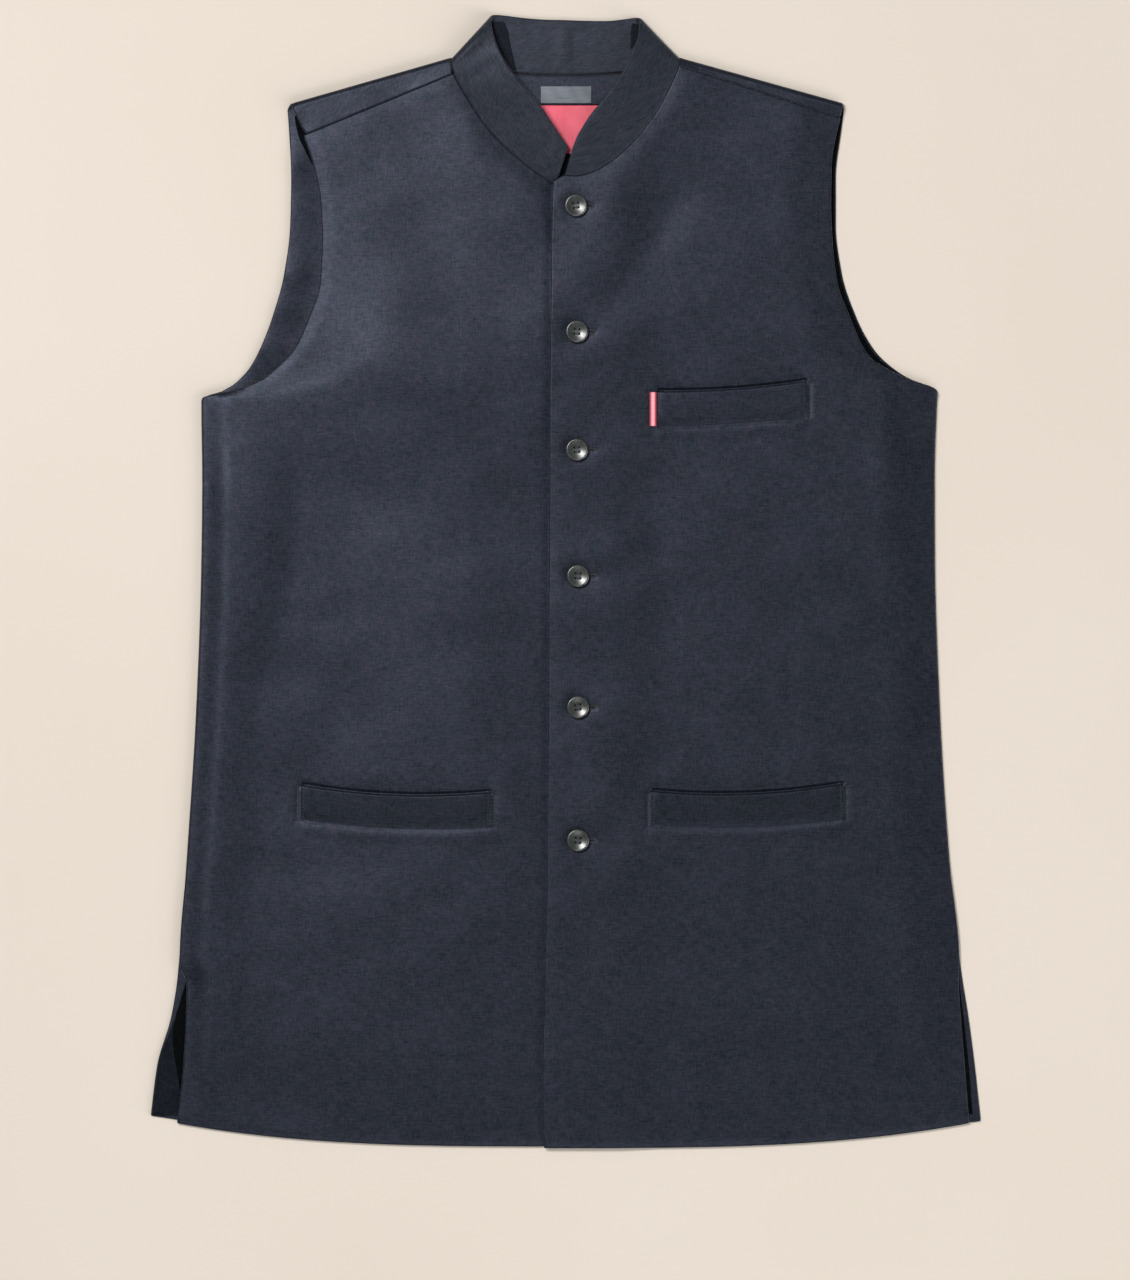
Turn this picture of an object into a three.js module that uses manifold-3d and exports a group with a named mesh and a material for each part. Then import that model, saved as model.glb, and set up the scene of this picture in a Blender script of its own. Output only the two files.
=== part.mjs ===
// A sleeveless waistcoat with a mandarin collar, buttoned up and laid flat on its back.
// Millimetres. +Z is up from the surface it lies on, +Y points to the collar and +X to the
// wearer's left. The origin is on that surface, under the middle of the garment.
//
// Each cut piece is a sheet: its middle surface is a net of four-sided cells, and a wall of the
// cloth's thickness is grown to both sides of that net. The back lies on the surface and turns
// over the shoulders to seams on the upper side. The two fronts lie on it and meet it at the sides.
import * as THREE from "three";
import { mergeVertices } from "three/addons/utils/BufferGeometryUtils.js";
import Module from "manifold-3d";

// Wall of each kind of cloth, with its interlining and lining.
const WALL = { back: 1.8, front: 2.0, collar: 2.2, welt: 1.4, thin: 1.0 };
const SEAM_GAP = 0.4; // between two pieces along a seam
const NECK_GAP = 0.7; // between the middles of the fronts and the collar, which leans over the seam
const LAYER_GAP = 0.4; // between a piece and what it lies on

// Heights of the upper side of the fronts above the surface.
const TOP = { middle: 7.4, sideSeam: 4.4, armhole: 6.0, hem: 4.5, neckRise: 1.1 };
const RISE = { side: 40, armhole: 34, hem: 70, neck: 32 }; // over which the height is reached

// Where the fronts lie over each other, one is raised and the other lowered by half a step.
const OVERLAP = { step: WALL.front + 0.5, flatTo: 30, goneAt: 72 };

// Centre front: the free edge of each front, and its line on from the end of the collar's seam.
const CENTRE_HEM_Y = { right: -396.5, left: -397.6 };
const CENTRE_EDGE = { right: { top: 26, hem: 20 }, left: { top: -8.4, hem: -15.8 } };
const CENTRE_LINE_HEM = { right: -6, left: 4 };
const CORNER_DROP = { right: 0, left: 3.4 }; // of the free top corner, below the collar's end

// The back's own outline: x of the edge on each side for each y, up the vents and the sides,
// then round the armholes to the shoulder fold.
const BACK_OUTLINE = [
  // y, right, left
  [-376.9, -290.9, 290.9],
  [-339, -286.0, 286.7],
  [-306, -276.4, 282.4],
  [-281, -272.2, 278.4],
  [-267, -270.9, 276.5],
  [-188, -265.0, 268.5],
  [-87, -258.7, 262.2],
  [14, -255.2, 258.9],
  [71, -254.6, 258.7],
  [122, -255.2, 260.2],
  [127.3, -255.2, 260.5],
  [129.7, -251.6, 260.8],
  [131.3, -243.8, 260.9],
  [134.1, -238.2, 259.9],
  [136.5, -233.8, 255.2],
  [139.3, -230.2, 246.5],
  [142.5, -226.9, 239.2],
  [148, -222.0, 230.6],
  [157, -216.6, 220.2],
  [165, -212.8, 214.0],
  [182, -206.2, 204.8],
  [215, -197.1, 193.6],
  [249, -192.9, 189.4],
  [282, -192.2, 189.4],
  [316, -193.8, 193.4],
  [334, -195.2, 195.8],
];

// The fronts' outer edge: free at the vent, then along the side seam, then round the armhole.
const FRONT_OUTLINE = [
  // y, right, left
  [-380.2, -272.2, 282.9],
  [-345, -268.2, 280.2],
  [-309, -266.0, 277.3],
  [-283, -265.4, 275.6],
  [-267, -270.3, 275.9],
  [-188, -264.4, 267.9],
  [-87, -258.1, 261.6],
  [14, -254.6, 258.3],
  [71, -254.0, 258.1],
  [122, -254.6, 259.6],
  [127.3, -254.6, 259.9],
  [129.7, -250.4, 260.2],
  [131.3, -241.8, 260.3],
  [134.1, -229.8, 259.2],
  [136.5, -222.3, 254.4],
  [139.3, -216.2, 245.2],
  [142.5, -210.0, 236.8],
  [148, -203.6, 225.8],
  [155, -195.8, 214.6],
  [163, -189.4, 208.6],
  [187, -178.6, 198.2],
  [208, -172.1, 190.6],
  [240, -170.6, 186.8],
  [264, -171.6, 186.0],
  [293, -177.2, 186.6],
  [311.6, -183.4, 189.6],
  [324, -187.0, 192.6],
];

// Shoulders: the fold is the garment's outline there, and the seam lies forward of it.
const SHOULDER = {
  right: { foldTip: [-195.2, 333.2], foldNeck: [-81.0, 366.0], seamTip: [-183.4, 311.6], seamNeck: [-79.6, 355.4] },
  left: { foldTip: [195.8, 333.6], foldNeck: [81.0, 366.0], seamTip: [192.6, 323.9], seamNeck: [80.6, 361.0] },
};
const SHOULDER_FOLD_RADIUS = 2.8; // of the middle of the wall

const UNDERARM_Y = 126;

// Collar: one band, from its end at the centre front round the neck to the other end. Each row is
// a section, with the middle of its wall at the neck seam and at the free upper edge.
const COLLAR_SECTIONS = [
  // seam x, y, z, edge x, y, z
  [-6.9, 276.6, 5.1, 2.0, 303.2, 10.4],
  [-14.0, 281.4, 5.9, -3.4, 311.0, 11.6],
  [-22.0, 286.8, 6.2, -9.4, 319.8, 12.9],
  [-36.8, 298.6, 6.4, -18.8, 333.8, 14.6],
  [-55.0, 317.0, 7.0, -31.4, 347.8, 16.0],
  [-69.0, 338.0, 7.4, -40.9, 360.4, 16.4],
  [-76.3, 350.8, 7.4, -47.2, 372.8, 15.4],
  [-79.3, 358.6, 7.3, -50.8, 384.0, 12.8],
  [-79.6, 363.0, 6.4, -52.0, 391.4, 9.6],
  [-78.6, 365.0, 4.2, -51.4, 394.6, 5.6],
  [-74.6, 363.4, 1.8, -49.2, 396.2, 2.2],
  [-66.0, 360.4, 1.3, -42.0, 395.8, 1.3],
  [-48.0, 356.9, 1.3, -31.0, 394.4, 1.3],
  [-24.0, 355.0, 1.3, -15.5, 393.1, 1.3],
  [0.0, 354.6, 1.3, 0.0, 392.7, 1.3],
  [24.0, 355.0, 1.3, 15.5, 392.2, 1.3],
  [48.0, 356.9, 1.3, 31.0, 392.2, 1.3],
  [66.0, 360.4, 1.3, 42.0, 393.4, 1.3],
  [74.6, 363.4, 1.8, 49.2, 394.2, 2.2],
  [78.6, 365.0, 4.2, 52.0, 392.8, 5.6],
  [79.6, 362.8, 6.4, 51.8, 389.0, 9.6],
  [78.5, 357.8, 7.3, 50.6, 380.8, 12.8],
  [74.0, 347.4, 7.5, 45.2, 366.8, 15.4],
  [63.5, 327.6, 7.6, 37.4, 351.4, 16.4],
  [48.1, 307.8, 8.2, 27.2, 337.2, 16.2],
  [31.4, 292.8, 8.7, 17.8, 326.0, 15.2],
  [18.0, 285.6, 8.75, 11.4, 316.2, 14.0],
  [8.6, 283.4, 8.75, 7.8, 309.8, 13.2],
  [-0.4, 283.8, 8.75, 5.0, 302.6, 12.5],
];
const COLLAR_BULGE = 0.8; // the band's outer side is this much rounder than flat
// Sections from the end of the collar to the shoulder seam.
const COLLAR_REACH = { right: 6.5, left: 7.5 };

// The back's neckline, under the collar: a shallow arc.
const BACK_NECK = { centreY: 353.6, endY: 362.0, endX: 81.0, power: 2.6 };

// Inside the neck: the dark facing, the lining under it and the plain sewn-in label.
const FACING = { halfWidth: 64, lowY: 333.2, cells: 10 };
const LINING = { halfWidth: 60, lowY: 264, cells: 8 };
const LABEL = { x: [-17.4, 18.2], y: [334.2, 346.2] };

// Pocket welts, laid on the fronts. Low and high are the y of the edges at the start, the middle
// and the end of each welt.
const WELTS = [
  { name: "welt_hip_right", side: "right", x: [-185.2, -52.6], low: [-167.4, -173.6, -172.6], high: [-143.6, -150.6, -148.6] },
  { name: "welt_hip_left", side: "left", x: [60.2, 193.8], low: [-171.4, -172.6, -167.2], high: [-147.8, -149.8, -142.8] },
  { name: "welt_chest", side: "left", x: [64.2, 168.4], low: [107.9, 109.8, 114.4], high: [131.9, 133.3, 139.1] },
];
const TAB = { x: [58.8, 63.6], y: [108.0, 131.8] };

// Buttons down the centre front, and the buttonholes in the front that lies on top.
const BUTTON = { diameter: 16, thickness: 3.6, rim: 1.5, dish: 1.3, hole: 1.9, holeSpacing: 3.6 };
const BUTTONS = [
  // x, y
  [7.3, 262.2],
  [8.0, 174.0],
  [8.0, 91.4],
  [8.7, 3.2],
  [8.7, -88.6],
  [8.7, -181.7],
];
const BUTTONHOLE = { start: -4.6, end: 12.4, width: 1.2 }; // along x, from the button's middle

// The main soft folds of the fronts: each row is a trough, or a ridge where its depth is negative.
const FOLDS = [
  // x0, y0, x1, y1, half width, depth
  [-214, 96, -226, -190, 17, 1.0],
  [-184, 170, -76, 118, 20, 0.8],
  [-150, 250, -110, 160, 34, -0.5],
  [34, 196, 76, 262, 15, 0.8],
  [20, -2, 62, 20, 12, 0.6],
  [26, -186, 60, -128, 12, 0.6],
  [222, 60, 232, -160, 17, 0.8],
  [26, -214, 70, -280, 26, 0.6],
];

const COLOURS = { cloth: 0x33363f, lining: 0xc4485a, label: 0x6f767d, tab: 0xd0606e, button: 0x1d1e20 };

const mix = (a, b, t) => a + (b - a) * t;
const clamp01 = (t) => Math.min(1, Math.max(0, t));
const smooth = (t) => clamp01(t) ** 2 * (3 - 2 * clamp01(t));
const shares = (cells) => Array.from({ length: cells + 1 }, (_, i) => i / cells);

// The value in a table's column at a given first column, on a smooth curve that never overshoots.
function columnAt(table, column, at) {
  const last = table.length - 1;
  if (at <= table[0][0]) return table[0][column];
  if (at >= table[last][0]) return table[last][column];
  const slope = (i) => (table[i + 1][column] - table[i][column]) / (table[i + 1][0] - table[i][0]);
  const tangent = (i) => {
    if (i === 0 || i === last) return slope(Math.min(i, last - 1));
    const [before, after] = [slope(i - 1), slope(i)];
    return before * after <= 0 ? 0 : (2 * before * after) / (before + after);
  };
  const i = table.findIndex((row, k) => k < last && at < table[k + 1][0]);
  const span = table[i + 1][0] - table[i][0];
  const t = (at - table[i][0]) / span;
  const [t2, t3] = [t * t, t * t * t];
  return (
    (2 * t3 - 3 * t2 + 1) * table[i][column] +
    (t3 - 2 * t2 + t) * span * tangent(i) +
    (3 * t2 - 2 * t3) * table[i + 1][column] +
    (t3 - t2) * span * tangent(i + 1)
  );
}

const COLUMN = { right: 1, left: 2 };
const outward = (side) => (side === "left" ? 1 : -1);
const backEdge = (side, y) => columnAt(BACK_OUTLINE, COLUMN[side], y);
const frontEdge = (side, y) => columnAt(FRONT_OUTLINE, COLUMN[side], y);

// A curve through the collar's sections: the seam from column 0, or the free edge from column 3.
function collarCurve(column) {
  const points = COLLAR_SECTIONS.map((row) => new THREE.Vector3(...row.slice(column, column + 3)));
  return new THREE.CatmullRomCurve3(points, false, "centripetal");
}
const COLLAR_SEAM = collarCurve(0);
const COLLAR_EDGE = collarCurve(3);

// The neck seam on one side, from the collar's end (0) to the shoulder seam (1).
function neckSeam(side, t) {
  const at = (COLLAR_REACH[side] * t) / (COLLAR_SECTIONS.length - 1);
  return COLLAR_SEAM.getPoint(side === "right" ? at : 1 - at);
}
const NECK_SAMPLES = ["right", "left"].flatMap((side) => shares(12).map((t) => neckSeam(side, t)));

// Distance in plan from a point to the stretch between two others.
function distanceTo(x, y, x0, y0, x1, y1) {
  const [dx, dy] = [x1 - x0, y1 - y0];
  const t = clamp01(((x - x0) * dx + (y - y0) * dy) / (dx * dx + dy * dy));
  return Math.hypot(x - x0 - t * dx, y - y0 - t * dy);
}

// Height of the fronts' upper side above the surface, before they lie over each other.
function bodyHeight(x, y, side) {
  const fromEdge = Math.abs(frontEdge(side, y) - x);
  const armhole = smooth((y - UNDERARM_Y) / 12);
  const edgeHeight = mix(TOP.sideSeam, TOP.armhole, armhole);
  const rise = mix(RISE.side, RISE.armhole, armhole);
  let height = mix(edgeHeight, TOP.middle, smooth(fromEdge / rise));
  for (const [x0, y0, x1, y1, halfWidth, depth] of FOLDS) {
    height -= depth * Math.exp(-((distanceTo(x, y, x0, y0, x1, y1) / halfWidth) ** 2));
  }
  const fromNeck = Math.min(...NECK_SAMPLES.map((p) => Math.hypot(p.x - x, p.y - y)));
  height += TOP.neckRise * Math.exp(-((fromNeck / RISE.neck) ** 2));
  const fromHem = y - hemY(x, side);
  return mix(TOP.hem + (OVERLAP.step / 2) * overlapShare(x), height, smooth(fromHem / RISE.hem));
}

// 1 where the fronts lie over each other, falling to 0 away from the centre.
function overlapShare(x) {
  return 1 - smooth((Math.abs(x) - OVERLAP.flatTo) / (OVERLAP.goneAt - OVERLAP.flatTo));
}

function frontHeight(x, y, side) {
  return bodyHeight(x, y, side) + outward(side) * (OVERLAP.step / 2) * overlapShare(x);
}

// The hem's y at x: level in the middle, and rising towards the vents.
const HEM_POWER = 3.0;
function hemY(x, side) {
  const corner = FRONT_OUTLINE[0];
  const centre = CENTRE_LINE_HEM[side];
  const share = clamp01(Math.abs(x - centre) / Math.abs(corner[COLUMN[side]] - centre));
  return mix(CENTRE_HEM_Y[side], corner[0], share ** HEM_POWER);
}

// Joins nets of cells into one wall of the given thickness. A net is rows of [x, y, z] points,
// all facing the same way, and nets meet where their points are the same.
function wall(nets, thickness) {
  const index = new Map();
  const points = [];
  const cells = [];
  const idOf = ([x, y, z]) => {
    const key = [x, y, z].map((value) => Math.round(value * 1e4)).join();
    if (!index.has(key)) {
      index.set(key, points.length);
      points.push(new THREE.Vector3(x, y, z));
    }
    return index.get(key);
  };
  for (const net of nets) {
    const ids = net.map((row) => row.map(idOf));
    for (let i = 0; i + 1 < ids.length; i++) {
      for (let j = 0; j + 1 < ids[i].length; j++) {
        cells.push([ids[i][j], ids[i][j + 1], ids[i + 1][j + 1], ids[i + 1][j]]);
      }
    }
  }
  const normals = points.map(() => new THREE.Vector3());
  const edges = new Map();
  for (const cell of cells) {
    const [a, b, c, d] = cell.map((id) => points[id]);
    const normal = c.clone().sub(a).cross(d.clone().sub(b));
    cell.forEach((id, k) => {
      normals[id].add(normal);
      edges.set(`${id},${cell[(k + 1) % 4]}`, [id, cell[(k + 1) % 4]]);
    });
  }
  const count = points.length;
  const positions = new Float32Array(count * 6);
  points.forEach((point, id) => {
    const offset = normals[id].normalize().multiplyScalar(thickness / 2);
    point.clone().add(offset).toArray(positions, id * 3);
    point.clone().sub(offset).toArray(positions, (id + count) * 3);
  });
  const triangles = [];
  for (const [a, b, c, d] of cells) {
    triangles.push(a, b, c, a, c, d);
    triangles.push(c + count, b + count, a + count, d + count, c + count, a + count);
  }
  for (const [a, b] of edges.values()) {
    if (edges.has(`${b},${a}`)) continue;
    triangles.push(b, a, a + count, b, a + count, b + count);
  }
  const geometry = new THREE.BufferGeometry();
  geometry.setAttribute("position", new THREE.BufferAttribute(positions, 3));
  geometry.setIndex(triangles);
  return geometry;
}

// A net over a share u across (0 to 1) and a share v along (0 to 1).
function net(across, along, pointAt) {
  return along.map((v) => across.map((u) => pointAt(u, v)));
}

// One front. Its lower net runs from the hem to a line that falls from the collar's end to the
// armhole, and its upper net from that line to the shoulder seam.
const UNDERARM_ROWS_Y = [122, 127.3, 129.7, 131.3, 134.1, 136.5, 139.3, 142.5, 148];
const SIDE_ROWS_Y = [-267, -230, -188, -137, -87, -37, 14, 71, 104, ...UNDERARM_ROWS_Y];
const FRONT_ROWS_Y = [-380.2, -360, -340, -318, -300, -283, ...SIDE_ROWS_Y, 163, 184, 208, 240];
const PLACKET_CELLS = { right: 2, left: 1 };
const FRONT_CELLS = 10;

// The front's edge along the neck seam, at a share of the way to the shoulder seam.
function frontNeck(side, t) {
  const point = neckSeam(side, t);
  const ahead = neckSeam(side, Math.min(1, t + 0.01)).sub(neckSeam(side, Math.max(0, t - 0.01)));
  const away = new THREE.Vector2(ahead.y, -ahead.x).multiplyScalar(outward(side)).normalize();
  return [point.x + away.x * NECK_GAP, point.y + away.y * NECK_GAP];
}

function shoulderSeam(side, u, gap) {
  const { seamTip, seamNeck } = SHOULDER[side];
  return [mix(seamNeck[0], seamTip[0], u), mix(seamNeck[1], seamTip[1], u) + gap];
}

function frontPlan(side) {
  const [hemOuter, topOuter] = [FRONT_ROWS_Y[0], FRONT_ROWS_Y.at(-1)];
  const [centreX, centreY] = frontNeck(side, 0);
  const lower = FRONT_ROWS_Y.map((outerY, i) => {
    const v = mix((outerY - hemOuter) / (topOuter - hemOuter), i / (FRONT_ROWS_Y.length - 1), 0.4);
    const innerY = mix(CENTRE_HEM_Y[side], centreY, v);
    const centre = mix(CENTRE_LINE_HEM[side], centreX, v);
    const edge = mix(CENTRE_EDGE[side].hem, CENTRE_EDGE[side].top, v);
    const drop = CORNER_DROP[side] * smooth((v - 0.93) / 0.07);
    return {
      placket: shares(PLACKET_CELLS[side]).map((u) => [mix(edge, centre, u), innerY - drop * (1 - u)]),
      body: shares(FRONT_CELLS).map((u) => [
        mix(centre, frontEdge(side, outerY), u),
        mix(innerY, outerY, u ** mix(HEM_POWER, 1.3, v)),
      ]),
    };
  });
  const base = lower.at(-1).body;
  const [seamStart, seamEnd] = [0, 1].map((u) => shoulderSeam(side, u, -SEAM_GAP / 2));
  const upper = shares(COLLAR_REACH[side] * 2).map((v) => {
    const neck = frontNeck(side, v);
    const armholeY = mix(topOuter, seamEnd[1], v);
    const armhole = [frontEdge(side, armholeY), armholeY];
    return base.map((low, j) => {
      const u = j / FRONT_CELLS;
      const seam = shoulderSeam(side, u, -SEAM_GAP / 2);
      return [0, 1].map((k) => {
        const corners = mix(mix(base[0][k], base.at(-1)[k], u), mix(seamStart[k], seamEnd[k], u), v);
        return mix(neck[k], armhole[k], u) + mix(low[k], seam[k], v) - corners;
      });
    });
  });
  return { lower, upper };
}

function frontNets(side) {
  const lift = ([x, y]) => [x, y, frontHeight(x, y, side) - WALL.front / 2];
  const facingUp = (row) => (side === "left" ? row : [...row].reverse());
  const { lower, upper } = frontPlan(side);
  return [
    lower.map(({ placket }) => facingUp(placket.map(lift))),
    lower.map(({ body }) => facingUp(body.map(lift))),
    upper.map((row) => facingUp(row.map(lift))),
  ];
}

const BACK_ROWS_Y = [-376.9, -358, -339, -320, -300, -284, ...SIDE_ROWS_Y, 165, 182, 206, 232];
const BACK_HEM = { middleY: -391, tilt: 1.9, reach: 160 }; // the tilt lowers the left corner and raises the right
const BACK_TOP_CELLS = 4;
const SHOULDER_CELLS = 5;
const NECK_CELLS = 6;

function backNeckY(x) {
  return mix(BACK_NECK.centreY, BACK_NECK.endY, Math.abs(x / BACK_NECK.endX) ** BACK_NECK.power);
}

// The line on the surface where the shoulder starts to turn up, for one x.
function shoulderBaseY(side, x) {
  const { foldTip, foldNeck } = SHOULDER[side];
  const share = (x - foldNeck[0]) / (foldTip[0] - foldNeck[0]);
  return mix(foldNeck[1], foldTip[1], share) - SHOULDER_FOLD_RADIUS - WALL.back / 2;
}

function backTopY(x) {
  if (x <= SHOULDER.right.foldNeck[0]) return shoulderBaseY("right", x);
  if (x >= SHOULDER.left.foldNeck[0]) return shoulderBaseY("left", x);
  return backNeckY(x);
}

// A row of the back, flat on the surface: a shoulder's width, the neck's width, and a shoulder's.
function backRow(rightY, leftY, yAt) {
  const right = shares(SHOULDER_CELLS).map((u) => mix(backEdge("right", rightY), SHOULDER.right.foldNeck[0], u));
  const left = shares(SHOULDER_CELLS).map((u) => mix(SHOULDER.left.foldNeck[0], backEdge("left", leftY), u));
  const neck = shares(NECK_CELLS).slice(1, -1).map((u) => mix(right.at(-1), left[0], u));
  return [...right, ...neck, ...left].map((x) => [x, yAt(x), WALL.back / 2]);
}

function backNets() {
  const [hemY, startY] = [BACK_ROWS_Y[0], BACK_ROWS_Y.at(-1)];
  const body = BACK_ROWS_Y.map((sideY) => {
    const nearHem = 1 - smooth((sideY - hemY) / BACK_HEM.reach);
    const drop = (BACK_HEM.middleY - hemY) * nearHem;
    const halfWidth = backEdge("left", sideY);
    return backRow(sideY, sideY, (x) => {
      const share = x / halfWidth;
      return sideY + drop * (1 - clamp01(Math.abs(share)) ** 3) - BACK_HEM.tilt * nearHem * share;
    });
  });
  const tipY = { right: shoulderBaseY("right", -195), left: shoulderBaseY("left", 195) };
  const top = shares(BACK_TOP_CELLS).map((v) =>
    backRow(mix(startY, tipY.right, v), mix(startY, tipY.left, v), (x) => mix(startY, backTopY(x), v)),
  );
  const last = top.at(-1);
  return [
    body,
    top,
    flapNet("right", last.slice(0, SHOULDER_CELLS + 1)),
    flapNet("left", last.slice(-SHOULDER_CELLS - 1)),
  ];
}

// The part of the back that turns up over one shoulder and comes forward to the seam.
function flapNet(side, baseRow) {
  const { foldTip, foldNeck } = SHOULDER[side];
  const radius = SHOULDER_FOLD_RADIUS;
  const turn = [30, 60, 90, 120, 150, 180].map((degrees) => {
    const angle = THREE.MathUtils.degToRad(degrees);
    return baseRow.map(([x, y, z]) => [x, y + radius * Math.sin(angle), z + radius * (1 - Math.cos(angle))]);
  });
  const forward = [0.5, 1].map((v) =>
    turn.at(-1).map(([x, y, z]) => {
      const share = clamp01((x - foldNeck[0]) / (foldTip[0] - foldNeck[0]));
      const seam = shoulderSeam(side, share, SEAM_GAP / 2);
      const seamX = Math.abs(seam[0]) < Math.abs(foldNeck[0]) ? foldNeck[0] + outward(side) * 0.2 : seam[0];
      const seamZ = frontHeight(seamX, seam[1], side) - WALL.back / 2;
      return [mix(x, seamX, v), mix(y, seam[1], v), mix(z, seamZ, v)];
    }),
  );
  return [baseRow, ...turn, ...forward];
}

function collarNet() {
  const along = shares((COLLAR_SECTIONS.length - 1) * 2);
  return shares(3).map((v) =>
    along.map((u) => {
      const point = COLLAR_SEAM.getPoint(u).lerp(COLLAR_EDGE.getPoint(u), v);
      const raised = smooth((point.z - 4) / 3);
      point.z += COLLAR_BULGE * raised * Math.sin(Math.PI * v);
      return point.toArray();
    }),
  );
}

const INSIDE_Z = WALL.back + LAYER_GAP + WALL.thin / 2; // of what lies inside on the back

function facingNet() {
  const { halfWidth, lowY, cells } = FACING;
  return net(shares(cells), shares(2), (u, v) => {
    const x = mix(-halfWidth, halfWidth, u);
    return [x, mix(lowY, backNeckY(x) - 1.2, v), INSIDE_Z];
  });
}

function liningNet() {
  const { halfWidth, lowY, cells } = LINING;
  return net(shares(cells), shares(5), (u, v) => [
    mix(-halfWidth, halfWidth, u),
    mix(lowY, FACING.lowY - SEAM_GAP, v),
    INSIDE_Z,
  ]);
}

function labelNet() {
  const z = INSIDE_Z + WALL.thin + LAYER_GAP;
  return net(shares(4), shares(2), (u, v) => [mix(...LABEL.x, u), mix(...LABEL.y, v), z]);
}

// A y on a curve through its start, middle and end values.
function threePoint([start, middle, end], u) {
  return start * (1 - u) * (1 - 2 * u) + middle * 4 * u * (1 - u) + end * u * (2 * u - 1);
}

// What lies on a front is made from the front's own points, moved out.
function onFront(side, x, y, thickness) {
  return [x, y, frontHeight(x, y, side) + LAYER_GAP + thickness / 2];
}

function weltNet({ side, x, low, high }) {
  return net(shares(12), shares(3), (u, v) =>
    onFront(side, mix(...x, u), mix(threePoint(low, u), threePoint(high, u), v), WALL.welt),
  );
}

function tabNet() {
  return net(shares(2), shares(5), (u, v) => onFront("left", mix(...TAB.x, u), mix(...TAB.y, v), WALL.thin));
}

const wasm = await Module();
wasm.setup();

function toManifold(geometry) {
  const bare = geometry.index ? geometry.toNonIndexed() : geometry.clone();
  bare.deleteAttribute("normal");
  bare.deleteAttribute("uv");
  const merged = mergeVertices(bare, 1e-4);
  return new wasm.Manifold(
    new wasm.Mesh({
      numProp: 3,
      vertProperties: merged.attributes.position.array,
      triVerts: new Uint32Array(merged.index.array),
    }),
  );
}

function fromManifold(solid) {
  const mesh = solid.getMesh();
  const geometry = new THREE.BufferGeometry();
  geometry.setAttribute("position", new THREE.BufferAttribute(mesh.vertProperties, 3));
  geometry.setIndex(new THREE.BufferAttribute(mesh.triVerts, 1));
  return geometry;
}

// A round-ended slot, upright through the cloth.
function buttonholeCutter(x, y) {
  const { start, end, width } = BUTTONHOLE;
  const shape = new THREE.Shape();
  const radius = width / 2;
  shape.absarc(start + radius, 0, radius, Math.PI / 2, -Math.PI / 2, false);
  shape.absarc(end - radius, 0, radius, -Math.PI / 2, Math.PI / 2, false);
  const cutter = new THREE.ExtrudeGeometry(shape, { depth: 30, bevelEnabled: false, curveSegments: 3 });
  return toManifold(cutter.translate(x, y, 0));
}

// A four-hole button: a rounded rim round a shallow dish.
function buttonGeometry() {
  const { diameter, thickness, rim, dish, hole, holeSpacing } = BUTTON;
  const radius = diameter / 2;
  const profile = [
    [0, 0],
    [radius * 0.62, 0],
    [radius * 0.94, thickness * 0.3],
    [radius, thickness * 0.62],
    [radius - rim * 0.35, thickness * 0.94],
    [radius - rim * 0.8, thickness],
    [radius - rim * 1.4, thickness * 0.9],
    [radius - rim * 2.1, thickness - dish],
    [0, thickness - dish],
  ].map(([r, z]) => new THREE.Vector2(r, z));
  const body = toManifold(new THREE.LatheGeometry(profile, 20).rotateX(Math.PI / 2));
  const holes = [-1, 1].flatMap((sx) =>
    [-1, 1].map((sy) => {
      const cutter = new THREE.CylinderGeometry(hole / 2, hole / 2, thickness * 3, 8).rotateX(Math.PI / 2);
      return toManifold(cutter.translate((sx * holeSpacing) / 2, (sy * holeSpacing) / 2, 0));
    }),
  );
  return fromManifold(holes.reduce((solid, cutter) => solid.subtract(cutter), body));
}

const garment = new THREE.Group();

function addPiece(name, geometry, colour, roughness = 0.9) {
  const material = new THREE.MeshStandardMaterial({ color: colour, roughness, metalness: 0 });
  const mesh = new THREE.Mesh(geometry, material);
  mesh.name = name;
  garment.add(mesh);
  return mesh;
}

addPiece("back", wall(backNets(), WALL.back), COLOURS.cloth);
addPiece("front_right", wall(frontNets("right"), WALL.front), COLOURS.cloth);
const leftFront = BUTTONS.map(([x, y]) => buttonholeCutter(x, y)).reduce(
  (solid, cutter) => solid.subtract(cutter),
  toManifold(wall(frontNets("left"), WALL.front)),
);
addPiece("front_left", fromManifold(leftFront), COLOURS.cloth);
addPiece("collar", wall([collarNet()], WALL.collar), COLOURS.cloth);
addPiece("neck_facing", wall([facingNet()], WALL.thin), COLOURS.cloth);
addPiece("back_lining", wall([liningNet()], WALL.thin), COLOURS.lining, 0.45);
addPiece("neck_label", wall([labelNet()], WALL.thin), COLOURS.label, 0.7);
for (const welt of WELTS) addPiece(welt.name, wall([weltNet(welt)], WALL.welt), COLOURS.cloth);
addPiece("chest_tab", wall([tabNet()], WALL.thin), COLOURS.tab, 0.6);
BUTTONS.forEach(([x, y], i) => {
  const button = addPiece(`button_${i + 1}`, buttonGeometry(), COLOURS.button, 0.3);
  button.position.set(x, y, frontHeight(x, y, "left") + LAYER_GAP);
});

export default garment;
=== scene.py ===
"""The mandarin collar waistcoat, dressed for the render: every cut piece of cloth is a thin closed
shell with rounded edges, on the form of its CAD solid, with softer and finer folds. Sizes are in
millimetres until a mesh is made; MM turns them into metres."""
import math

import bmesh
import bpy
import numpy as np
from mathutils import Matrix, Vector
from mathutils.geometry import delaunay_2d_cdt


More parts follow.
